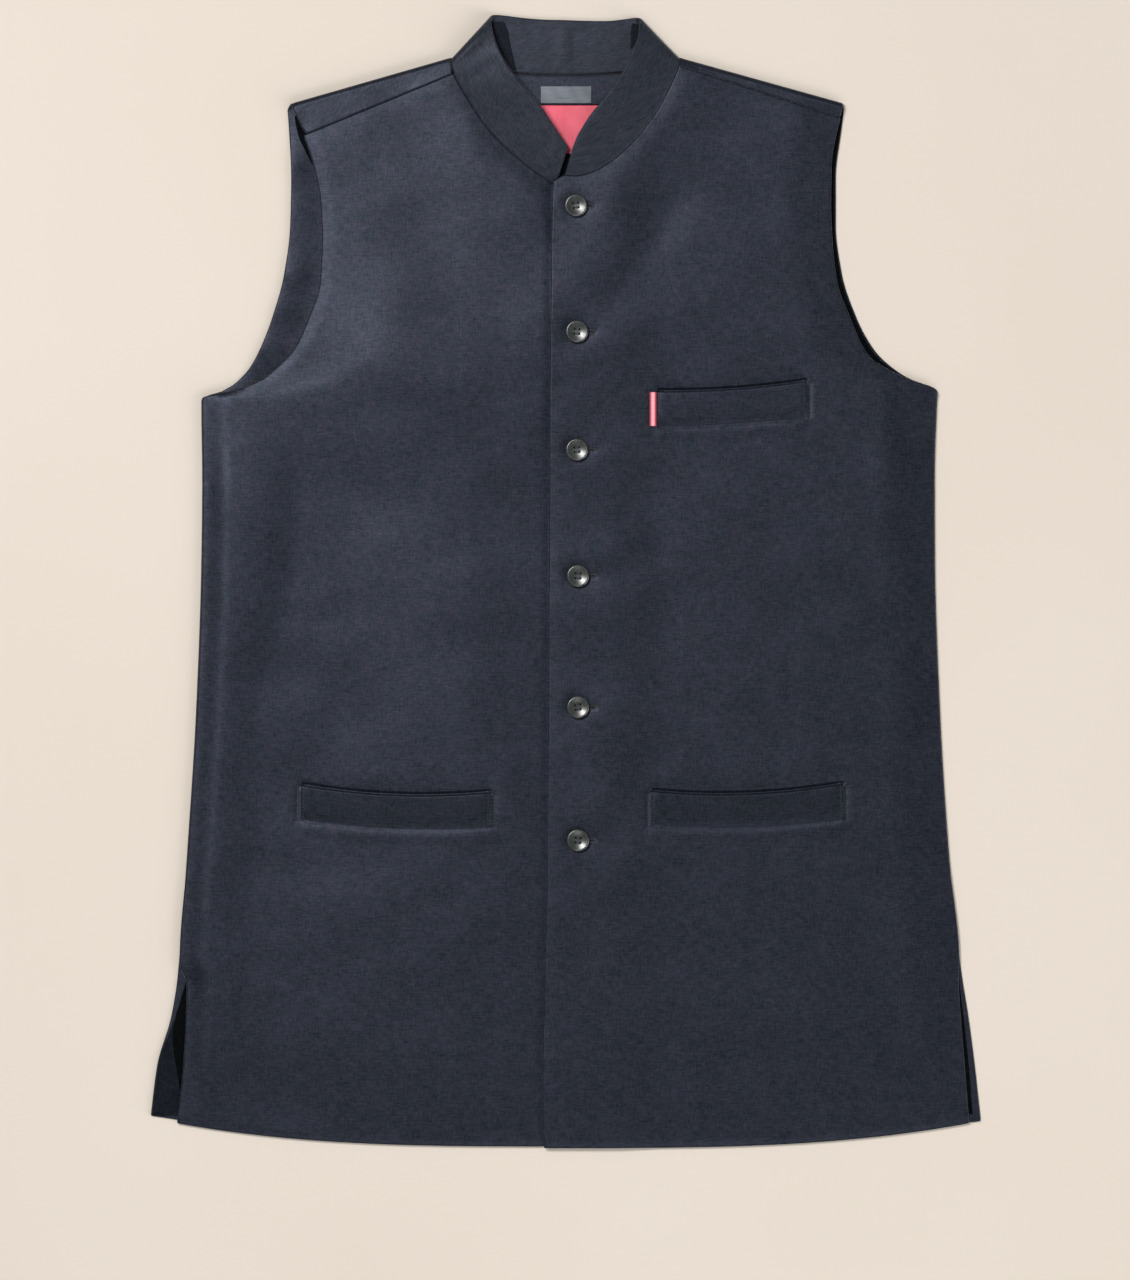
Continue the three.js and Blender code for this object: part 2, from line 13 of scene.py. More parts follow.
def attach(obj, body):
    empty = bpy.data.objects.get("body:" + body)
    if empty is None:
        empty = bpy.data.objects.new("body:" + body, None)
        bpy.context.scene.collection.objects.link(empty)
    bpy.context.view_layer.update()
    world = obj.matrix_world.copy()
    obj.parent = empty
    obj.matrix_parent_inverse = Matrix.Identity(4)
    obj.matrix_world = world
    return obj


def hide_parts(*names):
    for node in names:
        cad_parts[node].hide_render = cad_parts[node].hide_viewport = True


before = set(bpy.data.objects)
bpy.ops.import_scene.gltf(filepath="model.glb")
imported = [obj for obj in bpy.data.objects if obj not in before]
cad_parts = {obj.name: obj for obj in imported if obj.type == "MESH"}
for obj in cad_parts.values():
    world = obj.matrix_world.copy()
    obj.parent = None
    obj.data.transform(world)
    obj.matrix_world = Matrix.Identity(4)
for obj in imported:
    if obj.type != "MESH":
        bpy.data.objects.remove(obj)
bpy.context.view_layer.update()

MM = 0.001

# Sizes shared with the CAD
WALL = {"back": 1.8, "front": 2.0, "collar": 2.2, "welt": 1.4, "thin": 1.0}
LAYER_GAP = 0.4
TOP = {"middle": 7.4, "side_seam": {"right": 4.9, "left": 4.4}, "armhole": {"right": 6.9, "left": 6.0},
       "hem": 4.5, "neck_rise": 1.1}
RISE = {"side": {"right": 19, "left": 40}, "armhole": {"right": 9, "left": 34}, "hem": 70, "neck": 32}
OVERLAP_STEP = WALL["front"] + 0.5
OVERLAP_FLAT_TO, OVERLAP_GONE_AT = 30, 72
CENTRE_HEM_Y = {"right": -396.5, "left": -397.6}
CENTRE_LINE_HEM = {"right": -6, "left": 4}
HEM_POWER = 3.0
UNDERARM_Y = 126
SIDE = {"right": -1, "left": 1}
COLUMN = {"right": 1, "left": 2}

# y, x on the wearer's right, x on the wearer's left
BACK_OUTLINE = np.array([
    [-376.9, -290.9, 290.9], [-339, -286.0, 286.7], [-306, -276.4, 282.4], [-281, -272.2, 278.4],
    [-267, -270.9, 276.5], [-188, -265.0, 268.5], [-87, -258.7, 262.2], [14, -255.2, 258.9],
    [71, -254.6, 258.7], [122, -255.2, 260.2], [127.3, -255.2, 260.5], [129.7, -251.6, 260.8],
    [131.3, -243.8, 260.9], [134.1, -238.2, 259.9], [136.5, -233.8, 255.2], [139.3, -230.2, 246.5],
    [142.5, -226.9, 239.2], [148, -222.0, 230.6], [157, -216.6, 220.2], [165, -212.8, 214.0],
    [182, -206.2, 204.8], [215, -197.1, 193.6], [249, -192.9, 189.4], [282, -192.2, 189.4],
    [316, -193.8, 193.4], [334, -195.2, 195.8],
])
FRONT_OUTLINE = np.array([
    [-380.2, -272.2, 282.9], [-345, -268.2, 280.2], [-309, -266.0, 277.3], [-283, -265.4, 275.6],
    [-267, -270.3, 275.9], [-188, -264.4, 267.9], [-87, -258.1, 261.6], [14, -254.6, 258.3],
    [71, -254.0, 258.1], [122, -254.6, 259.6], [127.3, -254.6, 259.9], [129.7, -250.4, 260.2],
    [131.3, -241.8, 260.3], [134.1, -229.8, 259.2], [136.5, -222.3, 254.4], [139.3, -216.2, 245.2],
    [142.5, -210.0, 236.8], [148, -203.6, 225.8], [155, -195.8, 214.6], [163, -189.4, 208.6],
    [187, -178.6, 198.2], [208, -172.1, 190.6], [240, -170.6, 186.8], [264, -171.6, 186.0],
    [293, -177.2, 186.6], [311.6, -183.4, 189.6], [324, -187.0, 192.6],
])
# The free centre edge of each front: y, x on the wearer's right (hidden), x on the left
CENTRE_EDGE = np.array([
    [-396.4, 20.0, -15.2], [-363.7, 20.3, -16.3], [-258.7, 21.2, -14.2], [-215, 21.6, -13.0],
    [-83.7, 22.8, -12.2], [126, 24.6, -10.9], [256, 25.8, -9.5], [279.6, 26.0, -8.7],
])
SHOULDER = {
    "right": {"fold_tip": (-195.2, 333.2), "fold_neck": (-79.4, 366.5), "seam_tip": (-183.4, 311.6)},
    "left": {"fold_tip": (196.0, 333.9), "fold_neck": (79.4, 366.4), "seam_tip": (192.6, 323.9)},
}
SHOULDER_FOLD_RADIUS = 2.8
# seam x, y, z, edge x, y, z
COLLAR_SECTIONS = np.array([
    [-6.9, 276.6, 5.1, 2.0, 303.2, 10.4], [-14.0, 281.4, 5.9, -3.4, 311.0, 11.6],
    [-22.0, 286.8, 6.2, -9.4, 319.8, 12.9], [-36.8, 298.6, 6.4, -18.8, 333.8, 14.6],
    [-55.0, 317.0, 7.0, -31.4, 347.8, 16.0], [-69.0, 338.0, 7.4, -40.9, 360.4, 16.4],
    [-76.3, 350.8, 7.4, -47.2, 372.8, 15.4], [-79.3, 358.6, 7.3, -50.8, 384.0, 12.8],
    [-79.6, 363.0, 6.4, -52.0, 391.4, 9.6], [-78.6, 365.0, 4.2, -51.4, 394.6, 5.6],
    [-74.6, 363.4, 1.8, -49.2, 396.2, 2.2], [-66.0, 360.4, 1.3, -42.0, 395.8, 1.3],
    [-48.0, 356.9, 1.3, -31.0, 394.4, 1.3], [-24.0, 355.0, 1.3, -15.5, 393.1, 1.3],
    [0.0, 354.6, 1.3, 0.0, 392.7, 1.3], [24.0, 355.0, 1.3, 15.5, 392.2, 1.3],
    [48.0, 356.9, 1.3, 31.0, 392.2, 1.3], [66.0, 360.4, 1.3, 42.0, 393.4, 1.3],
    [74.6, 363.4, 1.8, 49.2, 394.2, 2.2], [78.6, 365.0, 4.2, 52.0, 392.8, 5.6],
    [79.6, 362.8, 6.4, 51.8, 389.0, 9.6], [78.5, 357.8, 7.3, 50.6, 380.8, 12.8],
    [74.0, 347.4, 7.5, 45.2, 366.8, 15.4], [63.5, 327.6, 7.6, 37.4, 351.4, 16.4],
    [48.1, 307.8, 8.2, 27.2, 337.2, 16.2], [31.4, 292.8, 8.7, 17.8, 326.0, 15.2],
    [18.0, 285.6, 8.75, 11.4, 316.2, 14.0], [8.6, 283.4, 8.75, 7.8, 309.8, 13.2],
    [-0.4, 283.8, 8.75, 5.0, 302.6, 12.5],
])
COLLAR_WIDTH, COLLAR_BULGE = 38, 0.8
COLLAR_REACH = {"right": 6.5, "left": 7.5}
# The neckline lies under the collar's own seam, and the hem is lower at the left corner.
BACK_NECK = {"centre_y": 354.4, "end_y": 362.2, "end_x": 73.0, "power": 2.7}
BACK_HEM = {"middle_y": -391, "tilt": 1.9}
FACING = {"half_width": 64, "low_y": 333.2}
LINING = {"half_width": 60, "low_y": 264}
LABEL = {"x": (-17.4, 18.2), "y": (334.2, 346.2)}
WELTS = [
    {"name": "welt_hip_right", "side": "right", "x": (-185.2, -52.6),
     "low": (-167.4, -173.6, -172.6), "high": (-143.6, -150.6, -148.6)},
    {"name": "welt_hip_left", "side": "left", "x": (60.2, 193.8),
     "low": (-171.4, -172.6, -167.2), "high": (-147.8, -149.8, -142.8)},
    {"name": "welt_chest", "side": "left", "x": (64.2, 168.4),
     "low": (107.9, 109.8, 114.4), "high": (131.9, 133.3, 139.1)},
]
TAB = {"x": (58.8, 63.6), "y": (108.0, 131.8)}
BUTTONS = [(7.3, 262.2), (8.0, 174.0), (8.0, 91.4), (8.7, 3.2), (8.7, -88.6), (8.7, -181.7)]
BUTTONHOLE = {"start": -4.6, "end": 12.4, "width": 1.2}
# x0, y0, x1, y1, half width, depth of the main folds, as in the solids; the two by the wearer's
# right side are in RIDGES, with a width of their own on each side
FOLDS = [
    (-150, 250, -110, 160, 34, -0.5),
    (34, 196, 76, 262, 15, 0.8), (20, -2, 62, 20, 12, 0.6), (26, -186, 60, -128, 12, 0.6),
    (222, 60, 232, -160, 17, 0.8), (26, -214, 70, -280, 26, 0.6),
]


# Small maths
def mix(a, b, t):
    return a + (b - a) * t


def smooth(t):
    t = np.clip(t, 0, 1)
    return t * t * (3 - 2 * t)


def hump(distance, width):
    """1 at no distance, falling off like a bell on both sides."""
    return np.exp(-((distance / width) ** 2))


def upright(count):
    return np.tile([0.0, 0.0, 1.0], (count, 1))


def constant(value):
    return lambda x: 0 * x + value


def column_at(table, column, at):
    """A table's column at given values of its first column, on a curve that never overshoots."""
    x, y = table[:, 0], table[:, column]
    slope = np.diff(y) / np.diff(x)
    before, after = slope[:-1], slope[1:]
    middle = np.where(before * after <= 0, 0, 2 * before * after / (before + after + 1e-12))
    tangent = np.concatenate([slope[:1], middle, slope[-1:]])
    at = np.clip(at, x[0], x[-1])
    i = np.clip(np.searchsorted(x, at, side="right") - 1, 0, len(x) - 2)
    span = x[i + 1] - x[i]
    t = (at - x[i]) / span
    return ((2 * t**3 - 3 * t**2 + 1) * y[i] + (t**3 - 2 * t**2 + t) * span * tangent[i]
            + (3 * t**2 - 2 * t**3) * y[i + 1] + (t**3 - t**2) * span * tangent[i + 1])


def through(points, at):
    """A centripetal curve through the points, at shares of their number."""
    points = np.asarray(points, float)
    last = len(points) - 1
    ends = np.vstack([2 * points[0] - points[1], points, 2 * points[-1] - points[-2]])
    place = np.clip(np.asarray(at, float), 0, 1) * last
    i = np.minimum(place.astype(int), last - 1)
    w = (place - i)[:, None]
    p = [ends[i + k] for k in range(4)]
    step = [np.maximum(np.linalg.norm(p[k + 1] - p[k], axis=1, keepdims=True), 1e-8) ** 0.5
            for k in range(3)]
    t1 = ((p[1] - p[0]) / step[0] - (p[2] - p[0]) / (step[0] + step[1]) + (p[2] - p[1]) / step[1]) * step[1]
    t2 = ((p[2] - p[1]) / step[1] - (p[3] - p[1]) / (step[1] + step[2]) + (p[3] - p[2]) / step[2]) * step[1]
    c2 = -3 * p[1] + 3 * p[2] - 2 * t1 - t2
    c3 = 2 * p[1] - 2 * p[2] + t1 + t2
    return p[1] + t1 * w + c2 * w**2 + c3 * w**3


NEARBY = 40


def distance_to_line(x, y, x0, y0, x1, y1):
    dx, dy = x1 - x0, y1 - y0
    t = np.clip(((x - x0) * dx + (y - y0) * dy) / (dx * dx + dy * dy), 0, 1)
    return np.hypot(x - x0 - t * dx, y - y0 - t * dy)


def distance_to_loops(points, loops):
    """Distance of each point to the nearest side of any loop, looked for within NEARBY."""
    best = np.full(len(points), 1e9)
    for loop in loops:
        for a, b in zip(loop, np.roll(loop, -1, axis=0)):
            near = (abs(points - (a + b) / 2) < NEARBY).all(1)
            p = points[near]
            best[near] = np.minimum(best[near], distance_to_line(p[:, 0], p[:, 1], *a, *b))
    return best


def inside(points, loop):
    hit = np.zeros(len(points), bool)
    for (x0, y0), (x1, y1) in zip(loop, np.roll(loop, -1, axis=0)):
        if y0 == y1:
            continue
        across = (points[:, 1] > min(y0, y1)) & (points[:, 1] <= max(y0, y1))
        hit ^= across & (points[:, 0] < x0 + (points[:, 1] - y0) / (y1 - y0) * (x1 - x0))
    return hit


def resampled(loop, step):
    """A closed loop again with its sides cut into stretches of about one step."""
    out = []
    for a, b in zip(loop, np.roll(loop, -1, axis=0)):
        n = max(1, round(float(np.linalg.norm(b - a)) / step))
        out += [mix(a, b, k / n) for k in range(n)]
    return np.array(out)


def rounded(loop, radius, corner=28):
    """A closed loop with its sharp corners cut by small arcs."""
    out = []
    for before, here, after in zip(np.roll(loop, 1, axis=0), loop, np.roll(loop, -1, axis=0)):
        a, b = before - here, after - here
        la, lb = np.linalg.norm(a), np.linalg.norm(b)
        turn = 180 - math.degrees(math.acos(np.clip(a @ b / (la * lb), -1, 1)))
        if turn < corner:
            out.append(here)
            continue
        start, end = here + a / la * min(radius, la / 2), here + b / lb * min(radius, lb / 2)
        out += [(1 - t) ** 2 * start + 2 * t * (1 - t) * here + t * t * end for t in (0, 0.25, 0.5, 0.75, 1)]
    return np.array(out)


def inset(loop, by):
    """A closed anticlockwise loop moved inwards."""
    ahead = np.roll(loop, -1, axis=0) - loop
    normal = np.stack([-ahead[:, 1], ahead[:, 0]], 1) / np.linalg.norm(ahead, axis=1, keepdims=True)
    both = normal + np.roll(normal, 1, axis=0)
    both /= np.maximum((both**2).sum(1, keepdims=True) / 2, 0.5)
    return loop + both * by


# Meshes
def mesh_object(name, points, faces, uv=None):
    """Points in millimetres, faces as a list of index tuples, uv in millimetres per point."""
    mesh = bpy.data.meshes.new(name)
    mesh.from_pydata((np.asarray(points) * MM).tolist(), [], faces)
    mesh.polygons.foreach_set("use_smooth", [True] * len(mesh.polygons))
    if uv is not None:
        layer = mesh.uv_layers.new(name="cut")
        corner = np.zeros(len(mesh.loops), np.int32)
        mesh.loops.foreach_get("vertex_index", corner)
        layer.data.foreach_set("uv", (np.asarray(uv)[corner] * MM).astype(np.float32).ravel())
    mesh.validate()
    obj = bpy.data.objects.new(name, mesh)
    bpy.context.collection.objects.link(obj)
    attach(obj, "root")
    return obj


def edge_share(distance, radius):
    """Half thickness of a rounded edge, as a share of the full half thickness."""
    return np.sqrt(np.clip(1 - (1 - np.clip(distance / radius, 0, 1)) ** 2, 0, 1))


# How a cut is meshed: the step along its edge, the loops inside the edge in edge radii, where the grid
# inside begins, and the same round a hole in millimetres
EDGE_STEP = 2.4
EDGE_LOOPS, GRID_FROM_EDGE = (0.1, 0.35, 0.8, 1.5), 2.2
HOLE_LOOPS, GRID_FROM_HOLE = (0, 0.3, 0.9), 1.6
PITCH = {"front": 2.7, "back": 4.2, "band": 4}
CLOTH_EDGE = 0.9


def closed_shell(name, middle, normal, half, faces, rim, flat):
    """Every face above and below its middle points, by half the thickness there, joined at the rim."""
    count = len(middle)
    below = np.where(rim, np.arange(count), np.arange(count) + count)
    offset = normal * half[:, None]
    used, both = np.unique(np.vstack([faces, below[faces][:, ::-1]]), return_inverse=True)
    points, uv = np.vstack([middle + offset, middle - offset])[used], np.vstack([flat, flat])[used]
    return mesh_object(name, points, both.reshape(-1, faces.shape[1]).tolist(), uv)


def panel(name, outline, pitch, place, thickness, edge_radius, holes=(), extra=()):
    """A closed shell over a flat cut, with its flat area and size in metres. place() gives the middle
    and the normal at flat points, from the points and their distance to the edge."""
    outline = resampled(outline, EDGE_STEP)
    loops = [outline] + [inset(outline, by * edge_radius) for by in EDGE_LOOPS]
    low, high = outline.min(0), outline.max(0)
    grid = np.stack(np.meshgrid(*[np.arange(low[k], high[k], pitch) for k in (0, 1)]), -1)
    grid = grid.reshape(-1, 2)
    grid[:, 0] += (np.round((grid[:, 1] - low[1]) / pitch) % 2) * pitch / 2
    if len(extra):
        extra = np.asarray(extra)
        cells = {tuple(c) for c in np.floor(extra / pitch).astype(int)}
        grid = grid[[tuple(c) not in cells for c in np.floor(grid / pitch).astype(int)]]
        grid = np.vstack([grid, extra])
    grid = grid[inside(grid, outline)]
    grid = grid[distance_to_loops(grid, [outline]) > GRID_FROM_EDGE * edge_radius]
    hole_loops = []
    for hole in holes:
        grid = grid[~inside(grid, inset(hole, -GRID_FROM_HOLE))]
        hole_loops += [inset(hole, -by) for by in HOLE_LOOPS]
    flat, edges = [], []
    for loop in loops + hole_loops:
        first = len(flat)
        flat += loop.tolist()
        edges += [(first + k, first + (k + 1) % len(loop)) for k in range(len(loop))]
    flat += grid.tolist()
    out = delaunay_2d_cdt([Vector(p) for p in flat], edges, [], 1, 1e-5)
    flat = np.array([tuple(p) for p in out[0]])
    triangles = np.array(out[2])
    middle = flat[triangles].mean(1)
    keep = inside(middle, outline)
    for hole in holes:
        keep &= ~inside(middle, hole)
    triangles = triangles[keep]
    used, triangles = np.unique(triangles, return_inverse=True)
    triangles, flat = triangles.reshape(-1, 3), flat[used]
    a, b, c = (flat[triangles[:, k]] for k in range(3))
    turned = (b[:, 0] - a[:, 0]) * (c[:, 1] - a[:, 1]) < (b[:, 1] - a[:, 1]) * (c[:, 0] - a[:, 0])
    triangles[turned] = triangles[turned][:, ::-1]
    distance = distance_to_loops(flat, [outline] + list(holes))
    half = thickness / 2 * edge_share(distance, edge_radius)
    centre, normal = place(flat, distance)
    obj = closed_shell(name, centre, normal, half, triangles, distance < 1e-4, flat)
    area = float(abs(np.cross(b - a, c - a)).sum() / 2) * MM * MM
    return obj, area, tuple(((high - low) * MM).tolist())


def shell(name, middle, thickness):
    """A closed shell over a net of rows of middle points, with rounded edges all round."""
    normal = np.cross(np.gradient(middle, axis=1), np.gradient(middle, axis=0))
    normal /= np.maximum(np.linalg.norm(normal, axis=2, keepdims=True), 1e-9)
    along = np.cumsum(np.linalg.norm(np.diff(middle, axis=1, prepend=middle[:, :1]), axis=2), axis=1)
    across = np.cumsum(np.linalg.norm(np.diff(middle, axis=0, prepend=middle[:1]), axis=2), axis=0)
    distance = np.minimum(np.minimum(along, along[:, -1:] - along), np.minimum(across, across[-1:] - across))
    half = thickness / 2 * edge_share(distance, thickness / 2)
    rim = np.zeros(distance.shape, bool)
    rim[[0, -1], :] = rim[:, [0, -1]] = True
    ids = np.arange(rim.size).reshape(rim.shape)
    quads = np.stack([ids[:-1, :-1], ids[:-1, 1:], ids[1:, 1:], ids[1:, :-1]], -1).reshape(-1, 4)
    flat = np.stack([along, across], -1).reshape(-1, 2)
    return closed_shell(name, middle.reshape(-1, 3), normal.reshape(-1, 3), half.ravel(), quads,
                        rim.ravel(), flat)


def eased(count, low, high, ends=(0.0, 0.12, 0.4, 0.9, 1.6)):
    """Positions from low to high, close together near both ends and even between."""
    ends = np.array(ends)
    inner = np.linspace(low + ends[-1], high - ends[-1], count)
    return np.concatenate([low + ends[:-1], inner, high - ends[:-1][::-1]])


def joined(name, parts):
    """One object of many small closed meshes, each a pair of points and faces."""
    points, faces, start = [], [], 0
    for p, f in parts:
        points.append(p)
        faces += [tuple(int(i) + start for i in face) for face in f]
        start += len(p)
    return mesh_object(name, np.vstack(points), faces)


def ring_faces(rings, sides, first=0):
    """The quads between neighbouring rings of points."""
    corners = ((0, 0), (0, 1), (1, 1), (1, 0))
    return [tuple(first + (i + di) * sides + (k + dk) % sides for di, dk in corners)
            for i in range(rings - 1) for k in range(sides)]


def tube(path, radius, sides, taper=0.6):
    """A round-ended thread along a path."""
    path = np.asarray(path, float)
    ahead = np.gradient(path, axis=0)
    ahead /= np.linalg.norm(ahead, axis=1, keepdims=True)
    up = np.array([0, 0, 1.0]) if abs(ahead[0, 2]) < 0.9 else np.array([0, 1.0, 0])
    right = np.cross(ahead, up)
    right /= np.linalg.norm(right, axis=1, keepdims=True)
    other = np.cross(right, ahead)
    turn = np.linspace(0, 2 * math.pi, sides, endpoint=False)
    size = np.full(len(path), radius)
    size[[0, -1]] *= taper
    ring = right[:, None] * np.cos(turn)[None, :, None] + other[:, None] * np.sin(turn)[None, :, None]
    points = (path[:, None] + ring * size[:, None, None]).reshape(-1, 3)
    faces = ring_faces(len(path), sides)
    faces.append(tuple(range(sides))[::-1])
    faces.append(tuple((len(path) - 1) * sides + k for k in range(sides)))
    return points, faces


# The form of the garment
def back_edge(side, y):
    return column_at(BACK_OUTLINE, COLUMN[side], y)


def front_edge(side, y):
    return column_at(FRONT_OUTLINE, COLUMN[side], y)


def neck_seam(side, t):
    at = COLLAR_REACH[side] * np.asarray(t, float) / (len(COLLAR_SECTIONS) - 1)
    return through(COLLAR_SECTIONS[:, :3], at if side == "right" else 1 - at)


NECK_SAMPLES = np.vstack([neck_seam(side, np.linspace(0, 1, 13)) for side in ("right", "left")])


def from_neck(x, y):
    return np.min([np.hypot(p[0] - x, p[1] - y) for p in NECK_SAMPLES], axis=0)


def overlap_share(x):
    return 1 - smooth((abs(x) - OVERLAP_FLAT_TO) / (OVERLAP_GONE_AT - OVERLAP_FLAT_TO))


def hem_y(x, side):
    corner, centre = FRONT_OUTLINE[0], CENTRE_LINE_HEM[side]
    share = np.clip(abs(x - centre) / abs(corner[COLUMN[side]] - centre), 0, 1)
    return mix(CENTRE_HEM_Y[side], corner[0], share**HEM_POWER)


def front_height(x, y, side):
    """Height of a front's upper side with its main forms, close to the solids."""
    from_edge = abs(front_edge(side, y) - x)
    armhole = smooth((y - UNDERARM_Y) / 12)
    edge_height = mix(TOP["side_seam"][side], TOP["armhole"][side], armhole)
    rise = mix(RISE["side"][side], RISE["armhole"][side], armhole)
    height = mix(edge_height, TOP["middle"], smooth(from_edge / rise))
    for x0, y0, x1, y1, half_width, depth in FOLDS:
        height = height - depth * hump(distance_to_line(x, y, x0, y0, x1, y1), half_width)
    height = height + TOP["neck_rise"] * hump(from_neck(x, y), RISE["neck"])
    from_hem = y - hem_y(x, side)
    share = overlap_share(x)
    height = mix(TOP["hem"] + OVERLAP_STEP / 2 * share, height, smooth(from_hem / RISE["hem"]))
    return height + SIDE[side] * OVERLAP_STEP / 2 * share


# Softer and finer forms than the solids have: x0, y0, x1, y1, width towards the upper left, width
# towards the lower right, height
RIDGES = [
    (-116, 147, -40, 130, 84, 50, 2.4), (-120, 146, -94, 139, 34, 20, 1.3),
    (-60, 276, -44, 244, 30, 24, 0.6), (-14, 285, -14, 140, 28, 6, 0.5),
    (-184, 52, -194, -20, 25, 90, -2.6), (-203, -74, -217, -190, 24, 80, -2.3),
    (-219, -246, -222, -346, 22, 60, -1.5), (-244, 56, -252, -330, 20, 58, 1.3),
    (-160, -26, -48, -20, 46, 22, 0.6), (-122, -32, -184, -138, 14, 40, -0.35),
    (-172, 40, -96, 52, 30, 26, 0.35), (-100, 86, -40, 70, 30, 24, 0.25),
    (-40, -138, -36, -196, 15, 14, 0.4), (-150, -200, -70, -214, 34, 26, 0.25),
    (-190, -250, -120, -290, 30, 26, 0.25), (-110, -320, -40, -306, 34, 24, -0.25),
    (30, 186, 178, 180, 76, 44, 1.5), (0, 200, 36, 262, 15, 16, 0.6), (20, 252, 92, 268, 18, 30, -0.2),
    (30, 14, 84, 10, 28, 22, 0.6), (34, -44, 78, -40, 18, 30, -0.4), (26, 96, 58, 82, 14, 12, 0.3),
    (22, 160, 50, 172, 14, 12, 0.3), (22, -82, 62, -92, 14, 12, 0.3), (16, -128, 24, -176, 14, 16, 0.4),
    (-12, -226, 50, -197, 17, 16, 0.5), (232, 66, 241, -158, 19, 14, 1.2),
    (262, -212, 267, -350, 28, 13, 0.9), (188, 6, 226, -4, 26, 20, 0.5), (96, 62, 196, 44, 36, 30, 0.3),
    (110, 300, 158, 262, 24, 20, -0.25), (176, 196, 134, 160, 20, 18, -0.25),
    (180, 96, 236, 116, 20, 18, 0.3), (130, -60, 204, -92, 36, 28, 0.3),
    (110, -204, 176, -236, 30, 24, 0.3), (60, -296, 140, -330, 34, 28, 0.25),
    (216, -250, 240, -350, 22, 20, -0.3),
]
# Long, low swells: wave length, direction in degrees, phase and height
SWELLS = [(118, 12, 0.6, 0.16), (83, 74, 2.1, 0.12), (61, 128, 4.0, 0.08), (47, 40, 1.1, 0.05),
          (34, 98, 5.2, 0.03)]
LIGHT_FROM = (-0.53, 0.85)
RIDGE_FADE = 14
# What the relief does at the edges: where it fades out, and how much is kept by the armholes
EDGE_FADE = {"low": 20, "high": 60, "from_y": 84, "over": 44}
KEPT_BY_ARMHOLE = {"share": 0.75, "from_y": 140, "over": 34}
NECK_FADE, HEM_FADE = 12, 10
BUTTON_DIP = {"depth": 0.8, "width": 9}
# The right front is pressed down along the left one's edge, up to the top of the placket, and rises
# again beside it.
PLACKET_DIP = {"depth": 0.45, "width": 3.0, "top_y": 282}
PLACKET_RISE = {"height": 0.45, "width": 26, "bottom_y": -390, "over": 60}


def swell(x, y):
    total = 0
    for length, degrees, phase, height in SWELLS:
        angle = math.radians(degrees)
        across = (x * math.cos(angle) + y * math.sin(angle)) / length
        total = total + height * np.sin(2 * math.pi * across + phase + 0.9 * np.sin(across * 1.7 + phase))
    return total


def ridge_height(x, y, x0, y0, x1, y1, lit_width, shaded_width, height):
    """A soft ridge or trough along a line that wanders a little, uneven on its two sides."""
    wander_x = 4 * np.sin(y / 31 + x0) + 1.5 * np.sin(y / 13)
    wander_y = 4 * np.sin(x / 37 + y0) + 1.5 * np.sin(x / 15)
    length = math.hypot(x1 - x0, y1 - y0)
    ahead = ((x1 - x0) / length, (y1 - y0) / length)
    aside = (-ahead[1], ahead[0])
    if aside[0] * LIGHT_FROM[0] + aside[1] * LIGHT_FROM[1] < 0:
        aside = (ahead[1], -ahead[0])
    from_x, from_y = x + wander_x - x0, y + wander_y - y0
    along = from_x * ahead[0] + from_y * ahead[1]
    across = from_x * aside[0] + from_y * aside[1]
    beyond = np.maximum(np.maximum(-along, along - length), 0)
    width = np.where(across > 0, lit_width, shaded_width)
    fade = RIDGE_FADE + 0.8 * lit_width
    return height * np.exp(-((across / width) ** 2) - (beyond / fade) ** 2)


def front_relief(x, y, side):
    """The dressed front's finer forms. They fade out at its outer edges, its hem and the neck."""
    relief = swell(x, y)
    for ridge in RIDGES:
        relief = relief + ridge_height(x, y, *ridge)
    from_edge = abs(front_edge(side, y) - x)
    high = smooth((y - EDGE_FADE["from_y"]) / EDGE_FADE["over"])
    fade = smooth(from_edge / mix(EDGE_FADE["low"], EDGE_FADE["high"], high))
    kept = KEPT_BY_ARMHOLE["share"] * smooth((y - KEPT_BY_ARMHOLE["from_y"]) / KEPT_BY_ARMHOLE["over"])
    relief = relief * mix(fade, 1, kept) * smooth((y - hem_y(x, side)) / HEM_FADE)
    relief = relief * smooth(from_neck(x, y) / NECK_FADE)
    if side == "left":
        for bx, by in BUTTONS:
            relief = relief - BUTTON_DIP["depth"] * hump(np.hypot(x - bx, y - by), BUTTON_DIP["width"])
        return relief
    past = column_at(CENTRE_EDGE, COLUMN["left"], y) - x
    dip = PLACKET_DIP["depth"] * hump(past, PLACKET_DIP["width"]) * (y < PLACKET_DIP["top_y"])
    rise = PLACKET_RISE["height"] * overlap_share(x) * smooth((past - 2) / PLACKET_RISE["width"])
    return relief - dip + rise * smooth((y - PLACKET_RISE["bottom_y"]) / PLACKET_RISE["over"])


def pocket_line(welt, x, which):
    u = np.clip((x - welt["x"][0]) / (welt["x"][1] - welt["x"][0]), 0, 1)
    start, middle, end = welt[which]
    return start * (1 - u) * (1 - 2 * u) + middle * 4 * u * (1 - u) + end * u * (2 * u - 1)


POCKET_SLOT = {"width": 2.8, "depth": 2.4}


